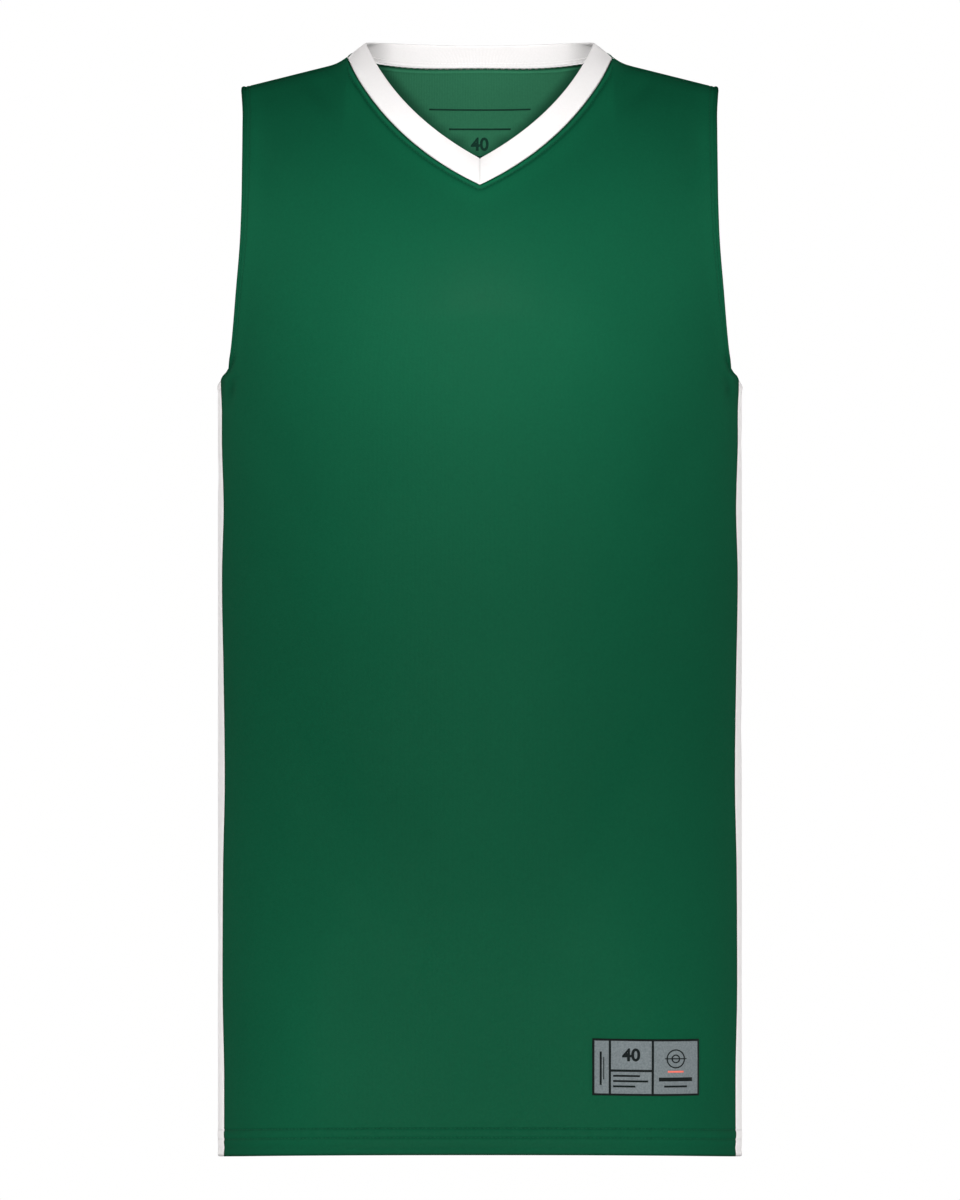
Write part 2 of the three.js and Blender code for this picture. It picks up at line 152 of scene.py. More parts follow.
# Print inside the back neck, in the same columns
NECK_BARS = [
    (-0.036, 0.036, -0.0315, -0.0304, 16),
    (-0.022, 0.022, -0.0450, -0.0438, 16),
    (-0.013, 0.013, -0.0640, -0.0629, 16),
]
NECK_NUMBER_LEVEL = -0.0553
PRINT_DEPTH = 0.00006
PLAIN_NUMBER = "40"

# Stitches: sides and rings of their shape, and the share of their length that shows
STITCH_SIDES = 6
STITCH_RINGS = 4
STITCH_SHOWN = 0.72

# Overlock of the neck seam: line of the collar's grid, lean, distance off the line; pitch, length, thread
OVERLOCK_ROWS = [(1, 0.95, 0.0003), (2, -0.8, 0.0002), (7, 0.25, 0.0)]
OVERLOCK_PITCH = 0.0025
OVERLOCK_STITCH = 0.0029
OVERLOCK_THREAD = 1.4

# Level sections: height, half width, depth in front, depth behind
SECTIONS = [
    (-0.768, 0.1833, 0.121, 0.116),
    (-0.640, 0.1833, 0.119, 0.112),
    (-0.500, 0.1833, 0.118, 0.107),
    (-0.380, 0.1833, 0.120, 0.109),
    (-0.290, 0.1833, 0.1235, 0.114),
    (-0.2265, 0.1833, 0.125, 0.117),
    (-0.170, 0.188, 0.125, 0.118),
    (-0.090, 0.192, 0.125, 0.118),
    (0.0, 0.195, 0.125, 0.118),
    (0.060, 0.196, 0.125, 0.118),
]

# Armhole edge: height, half width across the body
ARMHOLE = [
    (-0.2265, 0.1801),
    (-0.2245, 0.1792),
    (-0.2224, 0.1772),
    (-0.2196, 0.1752),
    (-0.2149, 0.1742),
    (-0.206, 0.1725),
    (-0.165, 0.1687),
    (-0.124, 0.1657),
    (-0.095, 0.1651),
    (-0.045, 0.1653),
    (-0.019, 0.1673),
]

# Side seams: height, distance from the side's middle line
SIDE_SEAM = [
    (-0.768, 0.0398),
    (-0.719, 0.0398),
    (-0.645, 0.0353),
    (-0.575, 0.0362),
    (-0.505, 0.0402),
    (-0.430, 0.0377),
    (-0.365, 0.0341),
    (-0.309, 0.0391),
    (-0.267, 0.0352),
    (-0.2455, 0.0356),
    (-0.2400, 0.0342),
    (-0.2265, 0.0331),
]

# Soft folds that the solids have too, on both halves: x and z of both ends, depth, width
FOLDS = {
    FRONT: [
        (0.0, -0.160, 0.0, -0.330, 0.0025, 0.062),
        (0.158, -0.330, 0.022, -0.540, -0.004, 0.040),
        (0.132, -0.475, 0.064, -0.618, -0.0025, 0.026),
        (0.166, -0.238, 0.118, -0.330, -0.003, 0.017),
        (0.140, -0.066, 0.112, -0.180, -0.002, 0.022),
        (0.118, -0.620, 0.128, -0.760, 0.0025, 0.024),
    ],
    BACK: [
        (0.0, -0.090, 0.0, -0.420, -0.004, 0.034),
        (0.066, -0.210, 0.074, -0.750, 0.004, 0.026),
        (0.118, -0.330, 0.108, -0.760, -0.004, 0.024),
        (0.166, -0.238, 0.110, -0.345, -0.0035, 0.018),
        (0.138, -0.060, 0.104, -0.190, -0.0025, 0.024),
    ],
}
FOLD_ENDS = 0.15
FOLD_EDGE = 0.2


def both_sides(*rows):
    """Rows of creases, and the same on the other half."""
    return [(side * x1, z1, side * x2, *rest) for x1, z1, x2, *rest in rows for side in (1, -1)]


# Small creases of the cloth alone, each on its own place: x and z of both ends, depth, width
CREASES = {
    FRONT: [
        *both_sides(
            (0.1690, -0.2090, 0.1765, -0.2245, -0.0012, 0.0016),
            (0.1740, -0.2240, 0.1790, -0.2400, 0.0010, 0.0022),
            (0.1560, -0.0520, 0.1440, -0.0960, -0.0012, 0.0080),
            (0.1200, -0.0120, 0.1010, -0.0400, -0.0016, 0.0065),
            (0.1600, -0.3000, 0.1180, -0.4200, -0.0026, 0.0200),
        ),
        (0.1700, -0.2230, 0.1745, -0.2440, -0.0011, 0.0022),
        (-0.1705, -0.2240, -0.1740, -0.2430, -0.0012, 0.0022),
        (0.0, -0.1010, 0.0, -0.1180, -0.0006, 0.0030),
        (0.1520, -0.4250, 0.0760, -0.5600, -0.0032, 0.0200),
        (-0.1520, -0.4300, -0.0760, -0.5650, -0.0032, 0.0200),
        (0.1250, -0.5350, 0.0480, -0.6250, 0.0026, 0.0170),
        (-0.1250, -0.5400, -0.0480, -0.6300, 0.0026, 0.0170),
    ],
    BACK: [
        *both_sides((0.1690, -0.2090, 0.1765, -0.2245, -0.0007, 0.0016)),
        (-0.150, -0.250, -0.060, -0.330, -0.0014, 0.0100),
        (0.146, -0.262, 0.072, -0.318, -0.0012, 0.0090),
        (-0.128, -0.560, -0.030, -0.640, -0.0013, 0.0120),
        (0.020, -0.500, 0.120, -0.610, -0.0014, 0.0130),
        (0.090, -0.110, 0.050, -0.260, 0.0010, 0.0110),
        (-0.080, -0.120, -0.052, -0.235, 0.0011, 0.0120),
        (-0.010, -0.660, 0.024, -0.755, 0.0012, 0.0120),
    ],
}

# The side panels' own creases, left and right, in the same columns with y in place of x
SIDE_CREASES = {
    1: [(-0.02, -0.262, 0.024, -0.30, -0.0009, 0.006), (0.012, -0.42, -0.02, -0.50, -0.001, 0.008)],
    -1: [(0.016, -0.258, -0.022, -0.312, -0.0009, 0.007), (-0.01, -0.60, 0.02, -0.68, -0.001, 0.009)],
}

# A crease narrower than this also gets painted shade, by this much for each metre of its depth
NARROW_CREASE = 0.003
CREASE_SHADE = 300

# Profiles across the sewing, as round ridges: height or share of painted shade, centre, width. A centre
# that is a word is a line of the sewing. A share of shade below 0 is painted light.
PROFILES = {
    "hem relief": [
        (-0.00045, "low row", 0.0008),
        (-0.00045, "high row", 0.0008),
        (0.00018, "between rows", 0.0022),
        (-0.0004, "below rows", 0.0026),
    ],
    "hem gathers": [(0.00022, "between rows", 0.0042)],
    # Painted shade at the hem's rows and folded edge
    "hem rows' shade": [(0.22, "low row", 0.0006), (0.3, "high row", 0.0006)],
    "hem shade": [(0.08, "below rows", 0.0024), (0.8, 0.0004, 0.0009)],
    "armhole relief": [(0.0004, "mid bead", 0.0013), (-0.0004, "bead", 0.0006), (-0.0004, "arm row", 0.0007)],
    # Painted shade at the armhole's edge, bead and row, and painted light beside them
    "armhole shade": [
        (0.6, 0.0006, 0.0011),
        (0.2, "bead", 0.0006),
        (0.2, "arm row", 0.0007),
        (-0.1, 0.010, 0.006),
    ],
    "side relief": [(-0.0001, 0.0, 0.0009)],
    # Painted shade along the side seam
    "side shade": [(0.58, 0.0007, 0.0024)],
    "side panel's seams": [(-0.00045, 0.0, 0.0009)],
    "neck relief": [(0.0005, 0.0023, 0.0012), (-0.0004, "neck row", 0.0006), (-0.0006, 0.0, 0.0006)],
    "neck gathers": [(0.00005, "neck row", 0.002)],
    # Painted shade at the collar seam and the topstitching, and painted light on the strip between and below
    "neck shade": [
        (0.9, 0.0002, 0.0008),
        (0.6, "neck row", 0.0007),
        (-0.36, 0.0024, 0.0011),
        (-0.15, 0.010, 0.006),
    ],
    # Painted shadow under the collar, inside the back
    "neck shade inside": [(0.85, 0.0012, 0.0010)],
    "shoulder relief": [(-0.0006, 0.0, 0.0010)],
    # Painted shade at the shoulder seam, and painted light below it
    "shoulder shade": [(0.6, 0.0, 0.0012), (0.2, 0.003, 0.0016), (-0.13, 0.014, 0.009)],
    "tip along the edge": [(0.0010, 0.0014, 0.0014)],
    "tip along the top": [(1.0, 0.0, 0.004)],
    # Painted shade at the shoulder's tip
    "tip's shade along the edge": [(0.4, 0.0008, 0.0018)],
    "tip's shade along the top": [(1.0, 0.0, 0.035)],
    # Painted shade in the underarm's crease
    "underarm shade": [(0.3, 0.0065, 0.005)],
    "collar seam": [(-0.0004, 0.0, 0.0007)],
    "collar join": [(-0.00035, 0.0, 0.0005)],
    # Painted shade lines at the collar's seam and join
    "collar seam's shade": [(0.22, 0.0, 0.0008)],
    "collar join's shade": [(0.16, 0.0, 0.0006)],
    "collar thinning": [(0.0002, 0.0026, 0.0006)],
    "tag border": [(0.00025, 0.0007, 0.0006)],
}

# Steps where cloth is turned under: height or share, line, distance past it, length of the slope
STEPS = {
    "hem": (0.00015, "high row", 0.0025, 0.0015),
    "armhole": (0.00015, "arm row", 0.002, 0.0015),
    "side": (0.00012, 0.0, 0.010, 0.002),
    "shoulder": (0.00015, 0.0, 0.007, 0.002),
    "side panel's armhole": (1.0, 0.0, 0.012, 0.003),
    "thick hem": (1.0, 0.0, 0.0215, 0.0012),
    "thick edge": (1.0, 0.0, 0.0085, 0.0012),
    "thick shoulder": (1.0, 0.0, 0.0065, 0.0012),
}

# Painted shade on the flanks, near the hem's sides and below the shoulders, and painted light (a share
# below 0) down the middle and on the chest, on both halves: x and z of both ends, share, width
PAINTED_SHADE_AND_LIGHT = {
    FRONT: [
        (0.158, -0.330, 0.140, -0.600, 0.10, 0.040),
        (0.110, -0.430, 0.034, -0.590, 0.07, 0.028),
        (0.165, -0.620, 0.168, -0.760, 0.08, 0.024),
        (0.150, -0.050, 0.120, -0.075, 0.10, 0.022),
        (0.0, -0.360, 0.0, -0.500, -0.05, 0.050),
        (0.075, -0.150, 0.060, -0.250, -0.06, 0.034),
        (0.158, -0.100, 0.160, -0.150, -0.10, 0.016),
    ],
    BACK: [
        (0.150, -0.330, 0.150, -0.600, 0.06, 0.040),
    ],
}

# Painted shadow on the inside of the back, except where it is lit through the neck: heights, and how far
# from the centre line it is lit
LIT_THROUGH_NECK = [
    (-0.140, -0.063, -0.058, -0.044, -0.023, -0.001),
    (-0.010, 0.002, 0.009, 0.031, 0.053, 0.0725),
]
# Share of that painted shadow
SHADE_BEHIND_FRONT = 0.9

# Height of the cloth's small unevenness, and how far from a hem or seam it starts
RIPPLE_HEIGHT = 0.00035
RIPPLE_START = 0.03
PUCKER_PITCH = 0.0065

# Columns of the grid from the centre line at 0 to the neck point at 8 and the side edge at 14
NECK_END = 8.0
EDGE_COLUMNS = [0.0, 12.0, 13.0, 14.0]
HALF_COLUMNS = 104
UPPER_ROWS = 48
BODY_ROWS = 72
SECTION_STEPS = 401
ARCH_STEPS = 801
LOWEST_DROP = 0.26
MIDDLE_DEPTH = 0.12
MIDDLE_X = 0.10

# Distances between the grid's lines in the sewn zones: first distance from the edge, last, spacing
HEM_LINES = [(0.0013, 0.0105, 0.0012), (0.0107, 0.0200, 0.0005), (0.0205, 0.0245, 0.0010)]
HEM_LINES_END = 0.0255
TOP_LINES = [(0.0011, 0.0085, 0.0005)]
EDGE_LINES = [(0.0105, 0.0010, -0.0006)]
RIM_LINES = [(0.012, 0.0012, -0.0009)]
CLIMB_LENGTH = 0.20
SHELL_BORDER = np.array([0.0, 0.00003, 0.00012, 0.0003, 0.0007])
CORNER_FULLNESS = 0.1

CAMERA_PLACE = (0.0001, -4.67, -0.3794)
CAMERA_LENS = 200.0
SENSOR = 36.0

# The sky is brighter above one range of heights of its direction, and dark above another
BAND = (0.15, 0.35)
ROOF = (0.45, 0.65)
BAND_GAIN = 0.8

# The collar is a darker copy of the white knit: painted shade
COLLAR_SHADE = 0.89
COAT_ROUGHNESS = 0.45
# Darkest painted shade, as a share of a knit's colour, where a mesh's shade attribute is 1
SHADE_DEPTH = 0.35

# Knits: colour, share of it, roughness, specular level, coat, width of a wale, height of a course, grain
KNITS = {
    "green knit, right side": ("green", 1.0, 0.60, 0.0, 0.036, 0.0009, 0.0007, 0.18),
    "green knit, wrong side": ("green_inside", 1.0, 0.8, 0.0, 0.02, 0.0011, 0.0009, 0.18),
    "white knit, right side": ("white", 1.0, 0.65, 0.1, 0.05, 0.0009, 0.0007, 0.06),
    "white knit, collar": ("white", COLLAR_SHADE, 0.65, 0.1, 0.05, 0.0009, 0.0007, 0.05),
    "white knit, wrong side": ("white", 1.0, 0.8, 0.1, 0.01, 0.0011, 0.0009, 0.05),
}

# Spots on both sides: name, place, target, radius of the lit circle, power
SIDE_SPOTS = [
    ("upper chest light", (0.05, -1.55, 0.45), (0.075, -0.10, -0.125), 0.20, 26.0),
    ("armhole light", (0.45, -1.55, 0.10), (0.150, -0.075, -0.112), 0.105, 33.0),
    ("low side light", (0.7, -1.8, -0.95), (0.15, -0.08, -0.70), 0.17, 28.0),
]
SPOT_SOFTNESS = 0.10

FLOOR_RINGS = np.array([0.001, 1.5, 3.0, 4.5, 6.0])
FLOOR_SIDES = 96
FLOOR_LEVEL = -1.42


def smoothstep(t):
    """3s^2 - 2s^3, with s the value held between 0 and 1."""
    s = np.clip(t, 0.0, 1.0)
    return s * s * (3.0 - 2.0 * s)


def mix(a, b, share):
    """a + (b - a) * share."""
    return a + (b - a) * share


def oval(share, power):
    """Superellipse (1 - |share|^power)^(1/power): what is left one way when the other takes share."""
    return np.maximum(1.0 - np.abs(share) ** power, 0.0) ** (1.0 / power)


def hill(distance, centre, width):
    """exp(-((distance - centre) / width)^2), a round ridge across a line."""
    return np.exp(-(((distance - centre) / width) ** 2))


def smooth_curve(table, column):
    """A function of height through a table's column: a cubic on each span, 1 at its ends' values, whose
    slope at a row is the harmonic mean of the rises beside it, or 0 where they have different signs."""
    rows = np.array(sorted(table))
    z = rows[:, 0]
    value = rows[:, column]
    rise = np.diff(value) / np.diff(z)
    before = np.append(rise[0], rise)
    after = np.append(rise, rise[-1])
    same = before * after > 0
    slope = np.where(same, 2 * before * after / np.where(same, before + after, 1.0), 0.0)

    def at(height):
        held = np.clip(height, z[0], z[-1])
        i = np.clip(np.searchsorted(z, held) - 1, 0, len(rise) - 1)
        span = z[i + 1] - z[i]
        t = (held - z[i]) / span
        ends = value[i] * (1 + 2 * t) * (1 - t) ** 2 + value[i + 1] * t * t * (3 - 2 * t)
        return ends + slope[i] * span * t * (1 - t) ** 2 - slope[i + 1] * span * t * t * (1 - t)

    return at


width_at = smooth_curve(SECTIONS, 1)
DEPTH_AT = {FRONT: smooth_curve(SECTIONS, 2), BACK: smooth_curve(SECTIONS, 3)}
armhole_at = smooth_curve(ARMHOLE, 1)
seam_at = smooth_curve(SIDE_SEAM, 1)


def depth_of(side, z):
    """Depth of the front where side is negative, and of the back elsewhere."""
    return np.where(side < 0, DEPTH_AT[FRONT](z), DEPTH_AT[BACK](z))


def ridge(face, x, z):
    """Height of the shoulder ridge: a line falling by RIDGE_SLOPE on both sides, rounded as a
    hyperbola, plus a small flare beside the collar and the face's rise inside the neck opening."""
    line = RIDGE_Z - RIDGE_SLOPE * (np.hypot(x, RIDGE_ROUND) - math.hypot(RIDGE_X, RIDGE_ROUND))
    flare = FLARE_HEIGHT * hill(np.abs(x), FLARE_X, FLARE_WIDTH) * smoothstep(1 + z / FLARE_FADE)
    in_front = np.asarray(face) < 0
    power = np.where(in_front, NECK_RISE_POWER[FRONT], NECK_RISE_POWER[BACK])
    inside = np.maximum(1 - (x / NECK_RISE_REACH) ** 2, 0.0) ** power
    rise = np.where(in_front, NECK_RISE[FRONT], NECK_RISE[BACK])
    return line + flare + rise * inside * smoothstep(1 + z / NECK_RISE_FADE)


def height_at(face, x, drop):
    """Height z that solves z = ridge(x, z) - drop, closed in on twenty times."""
    z = -drop
    for _ in range(20):
        z = ridge(face, x, z) - drop
    return z


def arch(drop, x):
    """Share of the full depth reached at a drop below the ridge: an oval of the drop over its height."""
    tip = smoothstep((np.abs(x) - ARCH_NECK_REACH) / (SHOULDER_TIP - ARCH_NECK_REACH))
    power = mix(ARCH_AT_NECK, ARCH_AT_TIP, tip)
    return oval(1 - np.minimum(drop, ARCH_HEIGHT) / ARCH_HEIGHT, power)


def level_at(x, y, z):
    """(|x| / width)^n + (|y| / depth)^n: 1 on the smooth form, and more outside it."""
    drop = np.maximum(ridge(np.sign(y), x, z) - z, 1e-6)
    depth = depth_of(y, z) * arch(drop, x)
    return np.abs(x / width_at(z)) ** SQUARENESS + np.abs(y / depth) ** SQUARENESS


def unit(vectors):
    """Vectors divided by their lengths."""
    return vectors / np.maximum(np.linalg.norm(vectors, axis=-1, keepdims=True), 1e-12)


def outward_at(points):
    """Direction straight out of the smooth form: the slope of its level, from differences."""
    x, y, z = np.moveaxis(points, -1, 0)
    s = 1e-5
    slopes = [
        level_at(x + s, y, z) - level_at(x - s, y, z),
        level_at(x, y + s, z) - level_at(x, y - s, z),
        level_at(x, y, z + s) - level_at(x, y, z - s),
    ]
    return unit(np.stack(slopes, axis=-1))


def fold_depth(table, across, z, fade_ends=FOLD_ENDS):
    """Sum over a table's folds of depth * exp(-(distance from its line / width)^2) * a sine along it."""
    total = np.zeros(np.broadcast(across, z).shape)
    for x1, z1, x2, z2, deep, wide in table:
        run_x = x2 - x1
        run_z = z2 - z1
        near = np.clip(((across - x1) * run_x + (z - z1) * run_z) / (run_x**2 + run_z**2), 0, 1)
        away = np.hypot(across - x1 - near * run_x, z - z1 - near * run_z)
        total += deep * hill(away, 0.0, wide) * np.sin(np.pi * mix(fade_ends, 1 - fade_ends, near))
    return total


def cloth_point(face, turn, width, drop, z, near_edge):
    """x = width * sin(turn)^(2/n), y = depth * arch * cos(turn)^(2/n), pushed out level by the folds,
    which fade near the side edge. A negative drop lies past the ridge, on the other face."""
    side = np.where(drop < 0, -face, face)
    x = width * np.sin(turn) ** (2 / SQUARENESS)
    y = side * depth_of(side, z) * arch(np.abs(drop), x) * np.cos(turn) ** (2 / SQUARENESS)
    point = np.stack(np.broadcast_arrays(x, y, z), axis=-1)
    outward = outward_at(point)
    outward[..., 2] = 0
    fold = fold_depth(FOLDS[face], np.abs(x), z) * smoothstep((1 - near_edge) / FOLD_EDGE)
    return point + unit(outward) * fold[..., None]


def turn_of_x(x, width):
    """Angle round the oval at which it is x wide."""
    return np.arcsin(np.clip(x / width, 0, 1) ** (SQUARENESS / 2))


def turn_of_y(y, depth):
    """Angle round the oval at which it is y deep."""
    return np.arccos(np.clip(y / depth, 0, 1) ** (SQUARENESS / 2))


def section_lengths():
    """Lengths round the section at the underarm, at even angles from the centre line to the side seam."""
    width = width_at(UNDERARM_LEVEL)
    depth = DEPTH_AT[FRONT](UNDERARM_LEVEL)
    turns = np.linspace(0, 1, SECTION_STEPS) * turn_of_y(seam_at(UNDERARM_LEVEL), depth)
    x = width * np.sin(turns) ** (2 / SQUARENESS)
    y = depth * np.cos(turns) ** (2 / SQUARENESS)
    return turns, np.append(0, np.cumsum(np.hypot(np.diff(x), np.diff(y))))


SECTION_TURNS, SECTION_LENGTHS = section_lengths()
HALF_GIRTH = SECTION_LENGTHS[-1]
EDGE_STOPS = [0.0, HALF_GIRTH - EDGE_TURN - STEP, HALF_GIRTH - EDGE_TURN, HALF_GIRTH]


def arch_lengths():
    """Length of cloth from the ridge down to each of some drops, over the arch at a middling place."""
    drops = np.linspace(0, LOWEST_DROP, ARCH_STEPS)
    reach = MIDDLE_DEPTH * arch(drops, np.full(ARCH_STEPS, MIDDLE_X))
    return drops, np.append(0, np.cumsum(np.hypot(np.diff(drops), np.diff(reach))))


ARCH_DROPS, ARCH_LENGTHS = arch_lengths()


def top_edge(face, columns):
    """Place across and drop below the ridge of a panel's top edge. The front neck is the quadratic curve
    (1-t)^2 V + 2t(1-t) pull + t^2 neck point; the back neck drops by depth * (1 - (x/neck)^2)^power."""
    t = np.clip(columns / NECK_END, 0, 1)
    if face == FRONT:
        end = ridge(FRONT, NECK_POINT, 0.0) - SEAM_DROP
        x = 2 * t * (1 - t) * NECK_PULL_X + t * t * NECK_POINT
        z = (1 - t) ** 2 * NECK_V + 2 * t * (1 - t) * NECK_PULL_Z + t * t * end
        drop = ridge(FRONT, x, z) - z
    else:
        x = NECK_POINT * np.sin(t * np.pi / 2)
        drop = BACK_NECK_DEPTH * np.maximum(1 - (x / NECK_POINT) ** 2, 0) ** BACK_NECK_POWER - SEAM_DROP
    length = SHOULDER_TIP - NECK_POINT
    stops = [0.0, length - EDGE_TURN - STEP, length - EDGE_TURN, length]
    along = np.interp(columns, [NECK_END, *EDGE_COLUMNS[1:]], stops)
    shoulder_drop = -face * SEAM_DROP + SEAM_GAP_DROP
    on_shoulder = columns >= NECK_END
    return np.where(on_shoulder, NECK_POINT + along, x), np.where(on_shoulder, shoulder_drop, drop)


def lifted(z, y):
    """The front hem's middle is lifted by HEM_LIFT * |y / depth|^power, dying out up the body."""
    fullness = np.where(y < 0, np.abs(y / DEPTH_AT[FRONT](z)) ** HEM_LIFT_SPREAD, 0)
    return z + HEM_LIFT * fullness * smoothstep((UNDERARM_LEVEL - z) / (UNDERARM_LEVEL - HEM_LEVEL))


def half_panel(face, levels, climbs, columns):
    """Half a front or back panel, as rows of points from hem to top edge, with length round the body and
    height along the cloth for its UV map. Below the underarm a row is level. Above it, rows climb
    from the underarm to the top edge, and keep to the armhole at their ends."""
    stops = np.interp(columns, EDGE_COLUMNS, EDGE_STOPS)
    low_share = np.interp(stops, SECTION_LENGTHS, np.linspace(0, 1, SECTION_STEPS))
    x_top, drop_top = top_edge(face, columns)
    tip_width = width_at(ridge(face, SHOULDER_TIP, 0.0))
    top_share = turn_of_x(x_top, tip_width) / turn_of_x(SHOULDER_TIP, tip_width)

    z = levels[:, None] + 0 * columns
    last = turn_of_y(seam_at(z) + SEAM_GAP / 2, DEPTH_AT[face](z))
    low_turn = low_share * last
    lower = cloth_point(face, low_turn, width_at(z), ARCH_HEIGHT + 0 * z, z, low_share)
    lower[..., 2] = lifted(z, lower[..., 1])

    climb = climbs[:, None]
    edge_z = mix(UNDERARM_LEVEL, ridge(face, SHOULDER_TIP, 0.0) - SEAM_DROP, climb)
    width = width_at(edge_z)
    share = mix(low_share, top_share, climb)
    turn = share * turn_of_x(armhole_at(edge_z), width)
    x = width * np.sin(turn) ** (2 / SQUARENESS)
    start = ridge(face, x, UNDERARM_LEVEL) - UNDERARM_LEVEL
    drop = mix(start, drop_top, climb)
    upper = cloth_point(face, turn, width, drop, height_at(face, x, np.abs(drop)), share)

    low_round = np.interp(low_turn, SECTION_TURNS, SECTION_LENGTHS)
    up_round = np.interp(turn, SECTION_TURNS, SECTION_LENGTHS)
    length = np.sign(drop) * np.interp(np.abs(drop), ARCH_DROPS, ARCH_LENGTHS)
    up_along = UNDERARM_LEVEL + np.interp(start, ARCH_DROPS, ARCH_LENGTHS) - length
    pairs = [(lower, upper), (low_round, up_round), (z, up_along)]
    return [np.concatenate(pair) for pair in pairs]


def grid_lengths(points):
    """Lengths of cloth on a grid to each point from the first row, last row, first and last column."""
    up = np.linalg.norm(np.diff(points, axis=0), axis=-1)
    across = np.linalg.norm(np.diff(points, axis=1), axis=-1)
    bottom = np.concatenate([np.zeros((1, points.shape[1])), np.cumsum(up, axis=0)])
    left = np.concatenate([np.zeros((points.shape[0], 1)), np.cumsum(across, axis=1)], axis=1)
    return bottom, bottom[-1] - bottom, left, left[:, -1:] - left


def slant_at_top(points):
    """Sine of the angle at which each column meets the top edge, which turns a length along the column
    into a distance from the edge."""
    edge_way = unit(np.gradient(points[-1], axis=0))
    column_way = unit(points[-1] - points[-12])
    return np.linalg.norm(np.cross(edge_way, column_way), axis=-1)


def spaced(table):
    """Distances at a table's spacings."""
    return np.concatenate([np.arange(*row) for row in table])


def body_levels():
    """Heights of the rows below the underarm: close together in the hem, then even."""
    rest = np.linspace(HEM_LEVEL + HEM_LINES_END, UNDERARM_LEVEL, BODY_ROWS)
    return np.concatenate([HEM_LEVEL + SHELL_BORDER, HEM_LEVEL + spaced(HEM_LINES), rest])


def upper_climbs():
    """Shares of the way from the underarm to the top edge, close together at both ends."""
    even = np.sin(np.pi / 2 * (np.arange(1, UPPER_ROWS) / UPPER_ROWS) ** 1.5)
    near_top = 1 - np.concatenate([SHELL_BORDER, spaced(TOP_LINES)])[::-1] / CLIMB_LENGTH
    return np.concatenate([even[even < near_top[0] - 0.002], near_top])


def panel_columns():
    """Columns from the centre line to the side edge: even, then close together in the turned edge."""
    even = np.linspace(0, HALF_GIRTH - EDGE_TURN - STEP, HALF_COLUMNS)
    turned = HALF_GIRTH - np.concatenate([spaced(EDGE_LINES), SHELL_BORDER[::-1]])
    return np.interp(np.concatenate([even, turned]), EDGE_STOPS, EDGE_COLUMNS)


def ripple(u, v):
    """A little unevenness of hanging knit: five long sine waves in fixed places, about 1 in height."""
    waves = [(9.3, 2.1, 0.4), (-5.1, 7.7, 1.9), (14.9, -3.3, 4.4), (3.9, 12.7, 2.7), (-19.7, 6.1, 5.5)]
    total = sum(np.sin(2 * np.pi * (a * u + b * v) + phase) for a, b, phase in waves)
    return total / len(waves)


def pucker(u):
    """Small gathers along a row of stitching: a sine of PUCKER_PITCH whose phase wanders."""
    return np.sin(2 * np.pi * (u / PUCKER_PITCH + 0.45 * np.sin(2 * np.pi * u / 0.047)))


def sewing_lines(sizes):
    """Distances of the lines of sewing from their edges, by the names used in the tables."""
    high = sizes.hem_row + sizes.needle_gauge
    return {
        "below rows": sizes.hem_row / 2,
        "low row": sizes.hem_row,
        "between rows": (sizes.hem_row + high) / 2,
        "high row": high,
        "mid bead": sizes.armhole_bead / 2,
        "bead": sizes.armhole_bead,
        "arm row": sizes.armhole_row,
        "neck row": sizes.neck_row,
    }


def profile(name, distance, lines=None):
    """Sum of a profile's ridges, each height * exp(-((distance - centre) / width)^2)."""
    total = 0
    for height, centre, width in PROFILES[name]:
        total = total + height * hill(distance, lines[centre] if isinstance(centre, str) else centre, width)
    return total


def step(name, distance, lines=None):
    """Height * smoothstep((reach - distance) / slope), where reach is a distance past a line."""
    height, line, past, slope = STEPS[name]
    start = lines[line] if isinstance(line, str) else line
    return height * smoothstep((start + past - distance) / slope)


